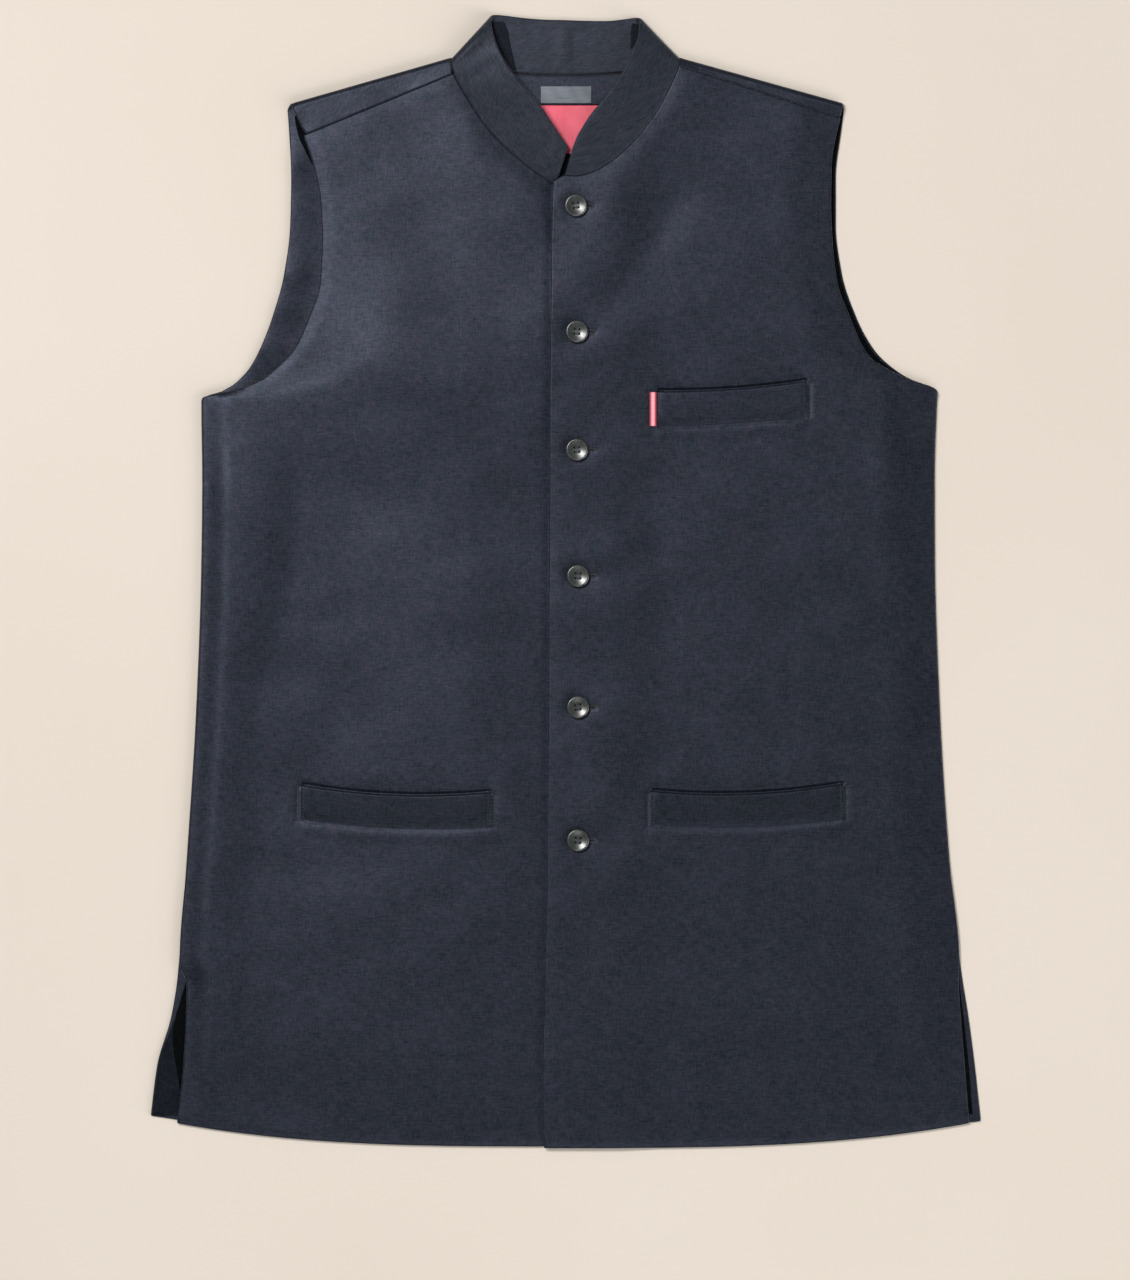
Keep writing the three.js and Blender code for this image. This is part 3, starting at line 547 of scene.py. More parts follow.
def pocket_relief(x, y, side):
    """The slot above each welt, and the pressed line along its sewn edges."""
    relief = np.zeros_like(x)
    for welt in WELTS:
        if welt["side"] != side:
            continue
        x0, x1 = welt["x"]
        ends = smooth((x - x0 + 1.0) / 2.0) * smooth((x1 + 1.0 - x) / 2.0)
        above = y - pocket_line(welt, x, "high")
        slot = np.exp(-(((above - 1.2) / (POCKET_SLOT["width"] / 2)) ** 4))
        relief -= POCKET_SLOT["depth"] * slot * ends
        relief -= 0.35 * hump(above, 9) * ends * (above > 0)
        below = pocket_line(welt, x, "low") - y
        relief -= 0.5 * hump(below - 0.3, 1.3) * ends
        relief += 0.3 * hump(below - 5, 3.5) * ends
        height = smooth((above + 27) / 3) * smooth((1 - above) / 3)
        for end, way in ((x0, -1), (x1, 1)):
            relief -= 0.35 * hump(x - end - way * 2.6, 1.2) * height
    return relief


def front_surface(x, y, side):
    """Height of the dressed front's upper side, away from its edges."""
    return front_height(x, y, side) + front_relief(x, y, side)


def height_at(x, y, side):
    """Height of the dressed front's upper side at one point."""
    return float(front_surface(np.array([x]), np.array([y]), side)[0])


def shoulder_seam(side):
    """Both ends of the shoulder seam, from the neck outwards."""
    return neck_seam(side, [1.0])[0][:2], SHOULDER[side]["seam_tip"]


NECK_GAP = -0.1
CUT_CORNER = 1.6
# The cut corner at the top of the left front's edge
PLACKET_TOP = np.array([[-6.6, 280.6], [-3.4, 282.6]])


def front_neck(side, t):
    point = neck_seam(side, t)[:, :2]
    after, before = neck_seam(side, np.minimum(1, t + 0.01)), neck_seam(side, np.maximum(0, t - 0.01))
    ahead = (after - before)[:, :2]
    away = np.stack([ahead[:, 1], -ahead[:, 0]], 1) * SIDE[side]
    return point + away / np.linalg.norm(away, axis=1, keepdims=True) * NECK_GAP


def front_outline(side):
    """The cut of a front as it lies, anticlockwise."""
    neck = front_neck(side, np.linspace(0, 1, 60))
    shoulder = np.linspace(*shoulder_seam(side), 46)[1:]
    y = np.linspace(shoulder[-1][1], FRONT_OUTLINE[0][0], 330)[1:]
    outer = np.stack([front_edge(side, y), y], 1)
    edge_x = column_at(CENTRE_EDGE, COLUMN[side], np.array([CENTRE_HEM_Y[side]]))[0]
    x = np.linspace(outer[-1][0], edge_x, 120)[1:]
    hem = np.stack([x, hem_y(x, side)], 1)
    top = CENTRE_EDGE[-1][0] if side == "left" else neck[0][1]
    y = np.linspace(CENTRE_HEM_Y[side], top, 270)[1:]
    centre = np.stack([column_at(CENTRE_EDGE, COLUMN[side], y), y], 1)
    if side == "left":
        return rounded(np.vstack([neck, shoulder, outer, hem, centre, PLACKET_TOP])[::-1], CUT_CORNER)
    return rounded(np.vstack([neck, shoulder, outer, hem, centre]), CUT_CORNER)


def buttonhole_loop(x, y, grow=0.0):
    radius = BUTTONHOLE["width"] / 2 + grow
    x0, x1 = x + BUTTONHOLE["start"] + radius - grow, x + BUTTONHOLE["end"] - radius + grow
    turn = np.linspace(-math.pi / 2, math.pi / 2, 7)
    right = np.stack([x1 + radius * np.cos(turn), y + radius * np.sin(turn)], 1)
    left = np.stack([x0 - radius * np.cos(turn), y - radius * np.sin(turn)], 1)
    return resampled(np.vstack([right, left]), 1.2)


# Lines of extra points, from the welt's upper and lower lines and beyond its ends
ABOVE_WELT = (-0.9, -0.3, 0.2, 0.7, 1.2, 1.7, 2.2, 2.9, 4.0)
BELOW_WELT = (-3.0, -1.8, -0.9, -0.2, 0.6)
BESIDE_WELT = (1.4, 2.1, 2.7, 3.3, 4.0)


def welt_points(welt):
    """Extra points of a front's cut round a welt."""
    x = np.arange(welt["x"][0] - 3, welt["x"][1] + 3.1, 1.9)
    out = [np.stack([x, pocket_line(welt, x, "high") + off], 1) for off in ABOVE_WELT]
    out += [np.stack([x, pocket_line(welt, x, "low") + off], 1) for off in BELOW_WELT]
    for end, way in zip(welt["x"], (-1, 1)):
        y = np.linspace(pocket_line(welt, end, "low"), pocket_line(welt, end, "high"), 16)
        out += [np.stack([np.full_like(y, end + way * off), y], 1) for off in BESIDE_WELT]
    return np.vstack(out)


def make_front(side):
    def place(flat, distance):
        x, y = flat[:, 0], flat[:, 1]
        pressed = 0.3 * hump(distance, 5) + 0.8 * hump(y - hem_y(x, side), 2.2)
        relief = front_relief(x, y, side) + pocket_relief(x, y, side)
        z = front_height(x, y, side) - WALL["front"] / 2 - pressed + relief
        return np.stack([x, y, z], 1), upright(len(x))

    extra = np.vstack([welt_points(welt) for welt in WELTS if welt["side"] == side])
    holes = [buttonhole_loop(*button) for button in BUTTONS] if side == "left" else []
    return panel(f"front_{side}_cloth", front_outline(side), PITCH["front"], place, WALL["front"],
                 CLOTH_EDGE, holes, extra)


def polygon_area(loop):
    x, y = loop[:, 0], loop[:, 1]
    return float((x * np.roll(y, -1) - np.roll(x, -1) * y).sum() / 2)


# The back, on its unrolled cut
def shoulder_share(side, x):
    fold = SHOULDER[side]
    return (x - fold["fold_neck"][0]) / (fold["fold_tip"][0] - fold["fold_neck"][0])


def shoulder_base_y(side, x):
    fold = SHOULDER[side]
    y = mix(fold["fold_neck"][1], fold["fold_tip"][1], shoulder_share(side, x))
    return y - SHOULDER_FOLD_RADIUS - WALL["back"] / 2


def seam_y(side, x):
    (neck_x, neck_y), (tip_x, tip_y) = shoulder_seam(side)
    return mix(neck_y, tip_y, (x - neck_x) / (tip_x - neck_x))


def back_neck_y(x):
    share = np.minimum(abs(x / BACK_NECK["end_x"]), 1)
    return mix(BACK_NECK["centre_y"], BACK_NECK["end_y"], share ** BACK_NECK["power"])


def flap_length(side, x):
    return math.pi * SHOULDER_FOLD_RADIUS + shoulder_base_y(side, x) - seam_y(side, x)


def back_outline():
    """Anticlockwise from the left hem corner: side, armhole, shoulder flap, neck and round again."""
    def half(side):
        low = BACK_OUTLINE[0][0] - SIDE[side] * BACK_HEM["tilt"]
        y = np.linspace(low, shoulder_base_y(side, SHOULDER[side]["fold_tip"][0]), 330)
        edge = np.stack([back_edge(side, y), y], 1)
        seam_x = SHOULDER[side]["seam_tip"][0]
        flap_corner = (seam_x, edge[-1][1] + flap_length(side, seam_x))
        flap_side = np.linspace(edge[-1], flap_corner, 12)[1:]
        x = np.linspace(seam_x, SHOULDER[side]["fold_neck"][0], 50)[1:]
        flap_top = np.stack([x, shoulder_base_y(side, x) + flap_length(side, x)], 1)
        neck_x = SHOULDER[side]["fold_neck"][0]
        flap_neck = np.linspace(flap_top[-1], (neck_x, back_neck_y(neck_x)), 10)[1:]
        return np.vstack([edge, flap_side, flap_top, flap_neck])

    left, right = half("left"), half("right")[::-1]
    x = np.linspace(left[-1][0], right[0][0], 70)[1:-1]
    neck = np.stack([x, back_neck_y(x)], 1)
    x = np.linspace(right[-1][0], left[0][0], 240)[1:-1]
    share = x / BACK_OUTLINE[0][2]
    drop = (BACK_HEM["middle_y"] - BACK_OUTLINE[0][0]) * (1 - np.clip(abs(share), 0, 1) ** 3)
    hem = np.stack([x, BACK_OUTLINE[0][0] + drop - BACK_HEM["tilt"] * share], 1)
    return rounded(np.vstack([left, neck, right, hem]), CUT_CORNER)


def fold_points():
    """Extra points of the cut where it turns over the shoulders."""
    out = []
    for side in ("right", "left"):
        fold = SHOULDER[side]
        x = np.linspace(fold["fold_neck"][0], fold["fold_tip"][0], 40)[1:-1]
        for along in np.arange(-1.4, math.pi * SHOULDER_FOLD_RADIUS + 1.5, 0.7):
            out.append(np.stack([x, shoulder_base_y(side, x) + along], 1))
    return np.vstack(out)


# Soft waves of the back where it shows in the armhole at the wearer's right: x, y, half widths, height
BACK_WAVES = [
    (-191, 288, 9, 10, 1.0), (-188, 258, 8, 14, 0.4), (-190, 216, 10, 11, 1.0), (-202, 188, 12, 10, 0.8),
    (-212, 162, 14, 8, 0.8), (-226, 146, 12, 6, 0.6),
]


# The edge of the back stands up a little in the armhole at the wearer's right.
ARMHOLE_LIFT = {"height": 1.0, "width": 26}


def back_place(flat, distance):
    """The back as it lies: flat, then turned over the shoulders and down to the fronts."""
    x, s = flat[:, 0].copy(), flat[:, 1]
    half, radius = WALL["back"] / 2, SHOULDER_FOLD_RADIUS
    point = np.stack([x, s, np.full_like(x, half)], 1)
    normal = upright(len(x))
    lift = 0.25 * smooth((distance - 25) / 30) * (0.5 + 0.5 * np.sin(x / 37 + 1.3 * np.sin(s / 61))) ** 2
    for wave_x, wave_y, half_x, half_y, height in BACK_WAVES:
        lift = lift + height * np.exp(-(((x - wave_x) / half_x) ** 2) - ((s - wave_y) / half_y) ** 2)
    armhole = smooth((s - 138) / 16) * smooth((324 - s) / 30) * (x < 0)
    from_edge = x - back_edge("right", s)
    lift = lift + ARMHOLE_LIFT["height"] * armhole * (1 - smooth(from_edge / ARMHOLE_LIFT["width"]))
    point[:, 2] += lift * smooth((332 - s) / 16) * mix(smooth(distance / 4), 1, armhole)
    for side in ("right", "left"):
        base = shoulder_base_y(side, x)
        along = s - base
        on = (along > 0) & (SIDE[side] * x > SHOULDER["left"]["fold_neck"][0] - 0.1)
        angle = np.clip(along / radius, 0, math.pi)
        forward = np.maximum(along - math.pi * radius, 0)
        y = base + radius * np.sin(angle) - forward
        z = half + radius * (1 - np.cos(angle))
        reach = np.maximum(flap_length(side, x) - math.pi * radius, 1e-6)
        seam = front_surface(x, seam_y(side, x), side) - half
        z = mix(z, seam, smooth(forward / reach))
        point[on] = np.stack([x, y, z], 1)[on]
        normal[on] = np.stack([0 * x, -np.sin(angle), np.cos(angle)], 1)[on]
    return point, normal


# Painted shadow and painted shade on the back where the fronts stand off it: dark sheets laid where the
# fronts' edges shade the back in the vents and armholes. Columns: name, side, height, whether it is the
# near-black painted shadow cloth, and rows of y and the share of the way from the front's edge to the back's
EDGE_BANDS = [
    ("vent_shadow_right", "right", 2.65, True,
     [(-356, 0.05), (-336, 0.34), (-316, 0.7), (-304, 0.7), (-290, 0.4), (-281, 0.1)]),
    ("vent_painted_shade_right", "right", 2.1, False,
     [(-375, 0.95), (-352, 0.95), (-330, 0.95), (-308, 0.8)]),
    ("vent_painted_shadow_left", "left", 2.1, True,
     [(-374, 0.35), (-345, 0.4), (-320, 0.4), (-290, 0.3), (-282, 0.1)]),
    # Painted shadow under the shoulder fold and along the armhole edges
    ("armhole_painted_shadow_right", "right", 2.6, True,
     [(290, 0.03), (300, 0.2), (310, 0.36), (318, 0.4), (326, 0.36)]),
    ("armhole_painted_shadow_left", "left", 2.1, True,
     [(140, 0.3), (146, 0.6), (156, 0.72), (182, 0.75), (250, 0.75), (328, 0.8)]),
]
# Painted shadow and painted shade under and inside the collar, in the slot between its ends and inside its
# folds: name, height, whether it is the near-black painted shadow cloth, outline
COLLAR_BANDS = [
    # Painted shadow in the slot between the collar's ends
    ("collar_slot_painted_shadow", 4.1, True, [(-15, 270), (17, 270), (15, 299), (-4, 299)]),
    # Painted shade inside the collar's folds
    ("collar_fold_painted_shade_right", 3.0, False, [
        (-51.5, 391.5), (-52, 383), (-46, 371), (-37, 357.5), (-34.5, 357.5), (-36.5, 366), (-39, 377),
        (-40.5, 386), (-43, 391.5)]),
    ("collar_fold_painted_shade_left", 3.0, False, [(51.5, 390), (46.5, 390.2), (45.6, 384), (45.5, 372), (50, 378)]),
]


def edge_band(side, rows):
    """The outline of a band of painted shade along the edge of a front, reaching in under the front."""
    rows = np.array(rows)
    y = np.linspace(rows[0][0], rows[-1][0], 40)
    near, far = front_edge(side, y), back_edge(side, y)
    outer = np.stack([mix(near, far, np.interp(y, rows[:, 0], rows[:, 1])), y], 1)
    inner = np.stack([near - SIDE[side] * 6, y], 1)
    return np.vstack([outer, inner[::-1]])


BAND_THICKNESS = 0.5
NARROWEST = 0.0101


def strip_size(outline, area):
    """Length and width of a straight strip with the same edge length and area, in metres. A very
    narrow strip counts as a little over 10 mm wide."""
    half_way = float(np.linalg.norm(outline - np.roll(outline, 1, axis=0), axis=1).sum() / 2) * MM
    length = (half_way + math.sqrt(max(half_way**2 - 4 * area, 0))) / 2
    return length, max(area / length, NARROWEST)


# A thin flat sheet that carries painted shade over what lies under it
def make_painted_shade_band(name, outline, height):
    if polygon_area(outline) < 0:
        outline = outline[::-1]

    def place(flat, distance):
        return np.column_stack([flat, np.full(len(flat), height)]), upright(len(flat))

    return panel(name, outline, PITCH["band"], place, BAND_THICKNESS, BAND_THICKNESS / 2)


# Collar and what lies on the cloth
def collar_middle(u, v):
    """The collar's middle surface: u along it and v from its seam to its free edge, as arrays."""
    seam, edge = through(COLLAR_SECTIONS[:, :3], u), through(COLLAR_SECTIONS[:, 3:], u)
    point = seam[None] + (edge - seam)[None] * v[:, None, None]
    raised = smooth((point[..., 2] - 4) / 3)
    point[..., 2] += COLLAR_BULGE * raised * np.sin(math.pi * v)[:, None]
    return point


# Soft dents of the collar: place along it, place across it, half widths of each, depth
COLLAR_DENTS = [
    (0.135, 0.35, 0.022, 0.5, 0.5), (0.195, 0.62, 0.014, 0.45, 0.7), (0.255, 0.4, 0.016, 0.6, 0.5),
    (0.52, 0.6, 0.012, 0.7, -0.5), (0.50, 0.5, 0.012, 0.7, 0.4), (0.585, 0.2, 0.012, 0.25, -0.4),
    (0.45, 0.5, 0.02, 0.5, -0.3), (0.76, 0.4, 0.02, 0.5, 0.5), (0.83, 0.55, 0.022, 0.5, 0.5),
    (0.90, 0.35, 0.02, 0.5, 0.4), (0.07, 0.5, 0.022, 0.5, 0.35),
]


def make_collar():
    u = np.linspace(0, 1, 620)
    v = eased(24, 0, COLLAR_WIDTH, (0.0, 0.12, 0.4, 0.9, 1.5)) / COLLAR_WIDTH
    middle = collar_middle(u, v)
    flat_u, flat_v = np.meshgrid(u, v)
    dent = np.zeros_like(flat_u)
    for cu, cv, wu, wv, depth in COLLAR_DENTS:
        dent -= depth * np.exp(-(((flat_u - cu) / wu) ** 2) - ((flat_v - cv) / wv) ** 2)
    middle[..., 2] += np.where(middle[..., 2] > 4, dent, np.maximum(-dent, 0)) * np.sin(math.pi * flat_v)
    return shell("collar_cloth_painted_light", middle, WALL["collar"])


INSIDE_Z = WALL["back"] + LAYER_GAP + WALL["thin"] / 2


def flat_net(x, y_low, y_high, height, columns, rows):
    """A net between two curves y_low(x) and y_high(x), with height(x, y) for its middle."""
    xs = eased(columns, *x)
    lows, highs = y_low(xs), y_high(xs)
    length = float((highs - lows).mean())
    v = eased(rows, 0, length) / length
    grid_x = np.tile(xs, (len(v), 1))
    grid_y = lows[None] + (highs - lows)[None] * v[:, None]
    return np.stack([grid_x, grid_y, height(grid_x, grid_y)], -1)


# A welt's lower side is sewn down into the front, its ends a little too, and it bulges in between.
WELT_FORM = {"width": 24, "sunk_hip": 1.5, "sunk_chest": 0.9, "belly": 0.25}


def make_welt(welt):
    thick = WALL["welt"]

    def height(x, y):
        base = front_surface(x, y, welt["side"]) + LAYER_GAP + thick / 2
        x0, x1 = welt["x"]
        from_low = y - pocket_line(welt, x, "low")
        from_end = np.minimum(x - x0, x1 - x)
        share = np.clip(from_low / WELT_FORM["width"], 0, 1)
        sunk = 0.7 * hump(from_low, 3.0) + 0.35 * hump(from_end, 2.5)
        sunk = sunk + WELT_FORM["sunk_chest" if welt["name"] == "welt_chest" else "sunk_hip"] * (1 - share)
        belly = WELT_FORM["belly"] * np.sin(share * math.pi)
        return base - sunk + belly

    net = flat_net(welt["x"], lambda x: pocket_line(welt, x, "low"), lambda x: pocket_line(welt, x, "high"),
                   height, 60, 14)
    return shell(f"{welt['name']}_cloth", net, thick)


def ellipsoid(centre, along, size, sides=6, rings=4):
    """A small stitch: half lengths along, across and up."""
    along = np.array(along, float) / np.linalg.norm(along)
    across = np.cross([0, 0, 1.0], along)
    across /= np.linalg.norm(across)
    up = np.cross(along, across)
    points = [np.array(centre) - along * size[0]]
    for i in range(1, rings):
        angle = math.pi * i / rings
        for k in range(sides):
            t = 2 * math.pi * k / sides
            points.append(np.array(centre) - along * size[0] * math.cos(angle)
                          + across * size[1] * math.sin(angle) * math.cos(t)
                          + up * size[2] * math.sin(angle) * math.sin(t))
    points.append(np.array(centre) + along * size[0])
    faces = [(0, 1 + (k + 1) % sides, 1 + k) for k in range(sides)]
    faces += ring_faces(rings - 1, sides, 1)
    a, last = 1 + (rings - 2) * sides, len(points) - 1
    faces += [(last, a + k, a + (k + 1) % sides) for k in range(sides)]
    return np.array(points), faces


def buttonhole_stitches():
    """Close stitches over the edge of each buttonhole, all the way round."""
    parts = []
    for bx, by in BUTTONS:
        loop = resampled(buttonhole_loop(bx, by, 0.45), 0.55)
        centre = loop.mean(0)
        for a, b in zip(loop, np.roll(loop, -1, axis=0)):
            middle, ahead = (a + b) / 2, b - a
            out = np.array([ahead[1], -ahead[0]])
            if out @ (middle - centre) < 0:
                out = -out
            z = height_at(*middle, "left") - 0.05
            parts.append(ellipsoid([*middle, z], [*out, 0.0], (0.95, 0.27, 0.3)))
    return joined("buttonhole_stitches", parts)


STITCH = {"pitch": 2.2, "size": (0.8, 0.22, 0.16)}


def stitch_row(x, y0, y1, side, lift):
    """A row of stitches up the cloth, lifted off its surface."""
    n = max(1, round((y1 - y0) / STITCH["pitch"]))
    parts = []
    for k in range(n):
        y = mix(y0, y1, (k + 0.5) / n)
        parts.append(ellipsoid([x, y, height_at(x, y, side) + lift], [0, 1, 0], STITCH["size"]))
    return parts


def pocket_stitches():
    """Two rows of short stitches that hold each end of the welts, one on the welt and one beside it."""
    parts = []
    for welt in WELTS:
        for end, way in zip(welt["x"], (1, -1)):
            if welt["name"] == "welt_chest" and way == 1:
                continue
            low, high = (float(pocket_line(welt, end, which)) for which in ("low", "high"))
            for off, lift in ((1.6, LAYER_GAP + WALL["welt"] - 0.25), (-2.6, -0.3)):
                parts += stitch_row(end + way * off, low + 1.0, high - 0.8, welt["side"], lift)
    return joined("pocket_stitches", parts)


# Buttons
BUTTON_PROFILE = [
    (0.0, 0.0), (4.6, 0.0), (5.6, 0.12), (6.6, 0.55), (7.4, 1.2), (7.85, 1.9), (7.95, 2.4), (7.9, 2.8),
    (7.7, 3.12), (7.4, 3.34), (7.05, 3.5), (6.7, 3.55), (6.4, 3.47), (6.1, 3.38), (5.5, 3.23), (4.7, 3.03),
    (3.8, 2.82), (3.2, 2.71), (2.4, 2.63), (1.4, 2.6), (0.0, 2.59),
]
HOLE_RADIUS, HOLE_SPACING = 0.85, 3.3
BUTTON_LIFT = 1.2
BUTTON_TURNS = (7, -5, 4, -3, 8, -6)
THREAD = {"radius": 0.2, "base_z": 2.62, "rise": 0.45, "sunk": 1.2, "off": (-0.22, 0.22)}
SHANK = {"radius": 1.3, "z": (-2.2, 0.1)}


def button_mesh():
    """One four-hole button, round its own axis, as an evaluated mesh."""
    sides = 64
    points = []
    for r, z in BUTTON_PROFILE[1:-1]:
        points += [(r * math.cos(2 * math.pi * k / sides), r * math.sin(2 * math.pi * k / sides), z)
                   for k in range(sides)]
    rings = len(BUTTON_PROFILE) - 2
    faces = ring_faces(rings, sides)
    points += [(0, 0, BUTTON_PROFILE[0][1]), (0, 0, BUTTON_PROFILE[-1][1])]
    for k in range(sides):
        n = (k + 1) % sides
        faces.append((rings * sides, n, k))
        faces.append((rings * sides + 1, (rings - 1) * sides + k, (rings - 1) * sides + n))
    body = bpy.data.meshes.new("button_body")
    body.from_pydata((np.array(points) * MM).tolist(), [], faces)
    cutter = bmesh.new()
    for sx in (-1, 1):
        for sy in (-1, 1):
            made = bmesh.ops.create_cone(cutter, cap_ends=True, segments=20, radius1=HOLE_RADIUS * MM,
                                         radius2=HOLE_RADIUS * MM, depth=12 * MM)
            bmesh.ops.translate(cutter, verts=made["verts"],
                                vec=(sx * HOLE_SPACING / 2 * MM, sy * HOLE_SPACING / 2 * MM, 0))
    cut = bpy.data.meshes.new("button_cut")
    cutter.to_mesh(cut)
    cutter.free()
    whole, tool = bpy.data.objects.new("button_whole", body), bpy.data.objects.new("button_tool", cut)
    for obj in (whole, tool):
        bpy.context.collection.objects.link(obj)
    holes = whole.modifiers.new("holes", "BOOLEAN")
    holes.object, holes.operation, holes.solver = tool, "DIFFERENCE", "EXACT"
    graph = bpy.context.evaluated_depsgraph_get()
    mesh = bpy.data.meshes.new_from_object(whole.evaluated_get(graph))
    for obj in (whole, tool):
        bpy.data.objects.remove(obj)
    mesh.polygons.foreach_set("use_smooth", [True] * len(mesh.polygons))
    mesh.set_sharp_from_angle(angle=math.radians(50))
    return mesh


def make_buttons():
    template = button_mesh()
    out = []
    for i, (x, y) in enumerate(BUTTONS):
        place = [x, y, height_at(x, y, "left") + BUTTON_LIFT]
        mesh = template.copy()
        coordinates = np.zeros(len(mesh.vertices) * 3, np.float32)
        mesh.vertices.foreach_get("co", coordinates)
        coordinates = coordinates.reshape(-1, 3)
        turn = math.radians(BUTTON_TURNS[i])
        cos, sin = math.cos(turn), math.sin(turn)
        spin = np.array([[cos, sin, 0], [-sin, cos, 0], [0, 0, 1]])
        coordinates = coordinates @ spin + np.array(place) * MM
        mesh.vertices.foreach_set("co", coordinates.astype(np.float32).ravel())
        obj = bpy.data.objects.new(f"button_{i + 1}_turned", mesh)
        bpy.context.collection.objects.link(obj)
        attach(obj, "root")
        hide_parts(f"button_{i + 1}")
        t = np.linspace(-1, 1, 9)
        arch = THREAD["base_z"] + THREAD["rise"] * np.sqrt(np.maximum(0, 1 - t**2))
        arch -= THREAD["sunk"] * (abs(t) > 0.99)
        parts = []
        for sy in (-1, 1):
            for off in THREAD["off"]:
                across = np.full(len(t), sy * HOLE_SPACING / 2 + off)
                path = np.stack([t * HOLE_SPACING / 2, across, arch], 1) @ spin + place
                parts.append(tube(path, THREAD["radius"], 6))
        shank = np.stack([np.zeros(4), np.zeros(4), np.linspace(*SHANK["z"], 4)], 1) + place
        parts.append(tube(shank, SHANK["radius"], 10, 1.0))
        out += [obj, joined(f"button_{i + 1}_thread", parts)]
    return out


# Materials
class Nodes:
    """A few words for building a node tree."""

    def __init__(self, name):
        self.material = bpy.data.materials.new(name)
        self.material.use_nodes = True
        self.tree = self.material.node_tree
        self.shader = self.tree.nodes["Principled BSDF"]

    def add(self, kind, **settings):
        node = self.tree.nodes.new(kind)
        for key, value in settings.items():
            setattr(node, key, value)
        return node

    def link(self, a, b):
        self.tree.links.new(a, b)

    def drive(self, socket, value):
        self.link(value, self.shader.inputs[socket])

    def maths(self, operation, *values):
        node = self.add("ShaderNodeMath", operation=operation)
        for socket, value in zip(node.inputs, values):
            if isinstance(value, (int, float)):
                socket.default_value = value
            else:
                self.link(value, socket)
        return node.outputs[0]

    def blend(self, first, *others):
        """A sum of values, each with its own weight."""
        total = self.maths("MULTIPLY", *first)
        for value, weight in others:
            total = self.maths("MULTIPLY_ADD", value, weight, total)
        return total

    def uv(self):
        return self.add("ShaderNodeUVMap", uv_map="cut").outputs["UV"]

    def place(self):
        return self.add("ShaderNodeTexCoord").outputs["Object"]

    def noise(self, vector, scale, detail=2.0, roughness=0.5, distortion=0.0):
        """Noise from 0 to 1, with one scale or one along each axis."""
        mapping = self.add("ShaderNodeMapping")
        mapping.inputs["Scale"].default_value = scale if isinstance(scale, tuple) else (scale,) * 3
        self.link(vector, mapping.inputs["Vector"])
        node = self.add("ShaderNodeTexNoise")
        settings = {"Scale": 1.0, "Detail": detail, "Roughness": roughness, "Distortion": distortion}
        for key, value in settings.items():
            node.inputs[key].default_value = value
        self.link(mapping.outputs[0], node.inputs["Vector"])
        return node.outputs["Fac"]

    def ramp(self, factor, *stops):
        node = self.add("ShaderNodeValToRGB")
        for element, (position, colour) in zip(node.color_ramp.elements, stops):
            element.position = position
            element.color = (*colour, 1)
        self.link(factor, node.inputs["Fac"])
        return node.outputs["Color"]

    def bump(self, height, strength, distance):
        node = self.add("ShaderNodeBump")
        node.inputs["Strength"].default_value = strength
        node.inputs["Distance"].default_value = distance
        self.link(height, node.inputs["Height"])
        self.drive("Normal", node.outputs["Normal"])

    def set(self, **values):
        for key, value in values.items():
            self.shader.inputs[key.replace("_", " ").title().replace("Ior", "IOR")].default_value = value


def cloth_material(name, dark, light, shine):
    """A dark plain weave of uneven yarns: short slubs both ways, mottled, shinier on the raised yarns."""
    n = Nodes(name)
    uv = n.uv()
    weft = n.noise(uv, (180, 720, 1), 2, 0.6, 0.3)
    warp = n.noise(uv, (720, 200, 1), 2, 0.6, 0.3)
    grain = n.noise(uv, (900, 950, 1), 2, 0.7)
    patch = n.noise(uv, (120, 140, 1), 3, 0.6)
    cloud = n.noise(uv, (34, 30, 1), 3, 0.5)
    total = n.blend((warp, 0.23), (weft, 0.27), (grain, 0.25), (patch, 0.13), (cloud, 0.10))
    n.drive("Base Color", n.ramp(total, (0.38, dark), (0.62, light)))
    raised = n.ramp(total, (0.34, (shine * 0.55,) * 3), (0.66, (shine * 1.45,) * 3))
    n.drive("Specular IOR Level", raised)
    n.drive("Specular Tint", n.ramp(patch, (0.34, (0.60, 0.73, 0.95)), (0.66, (0.72, 0.72, 1.0))))
    n.set(roughness=0.43, sheen_weight=0.4, sheen_roughness=0.3, sheen_tint=(0.75, 0.82, 1.0, 1.0))
    n.bump(total, 0.32, 0.0005)
    return n.material


def woven_material(name, threads, mottle, weight, dark, light, bump, **look):
    """Fine threads over a soft mottle. The two scales are along the cut's axes."""
    n = Nodes(name)
    uv = n.uv()
    total = n.blend((n.noise(uv, (*mottle, 1)), 1 - weight), (n.noise(uv, (*threads, 1), 2, 0.6), weight))
    n.drive("Base Color", n.ramp(total, (0.3, dark), (0.7, light)))
    n.set(**look)
    n.bump(total, *bump)
    return n.material


def tab_material():
    """A red woven tape, pale pink down its middle fading to dark red at its sides: a painted highlight along
    its middle and painted shade at its sides.
    """
    n = Nodes("tab_tape")
    uv = n.uv()
    axes = n.add("ShaderNodeSeparateXYZ")
    n.link(uv, axes.inputs[0])
    middle = (TAB["x"][1] - TAB["x"][0]) / 2 * MM
    off = n.maths("ABSOLUTE", n.maths("SUBTRACT", axes.outputs["X"], middle))
    threads = n.noise(uv, (300, 1900, 1), 2, 0.6)
    off = n.maths("MULTIPLY_ADD", threads, 0.0004, off)
    # Pale in the middle and dark red at the sides: painted highlight and painted shade across the tape
    from_painted_highlight = n.maths("MULTIPLY", off, 1000 / 3)
    n.drive("Base Color", n.ramp(from_painted_highlight, (0.38, (0.88, 0.42, 0.48)), (0.55, (0.5, 0.03, 0.06))))
    n.set(roughness=0.55, sheen_weight=0.2)
    n.bump(threads, 0.4, 0.0004)
    return n.material


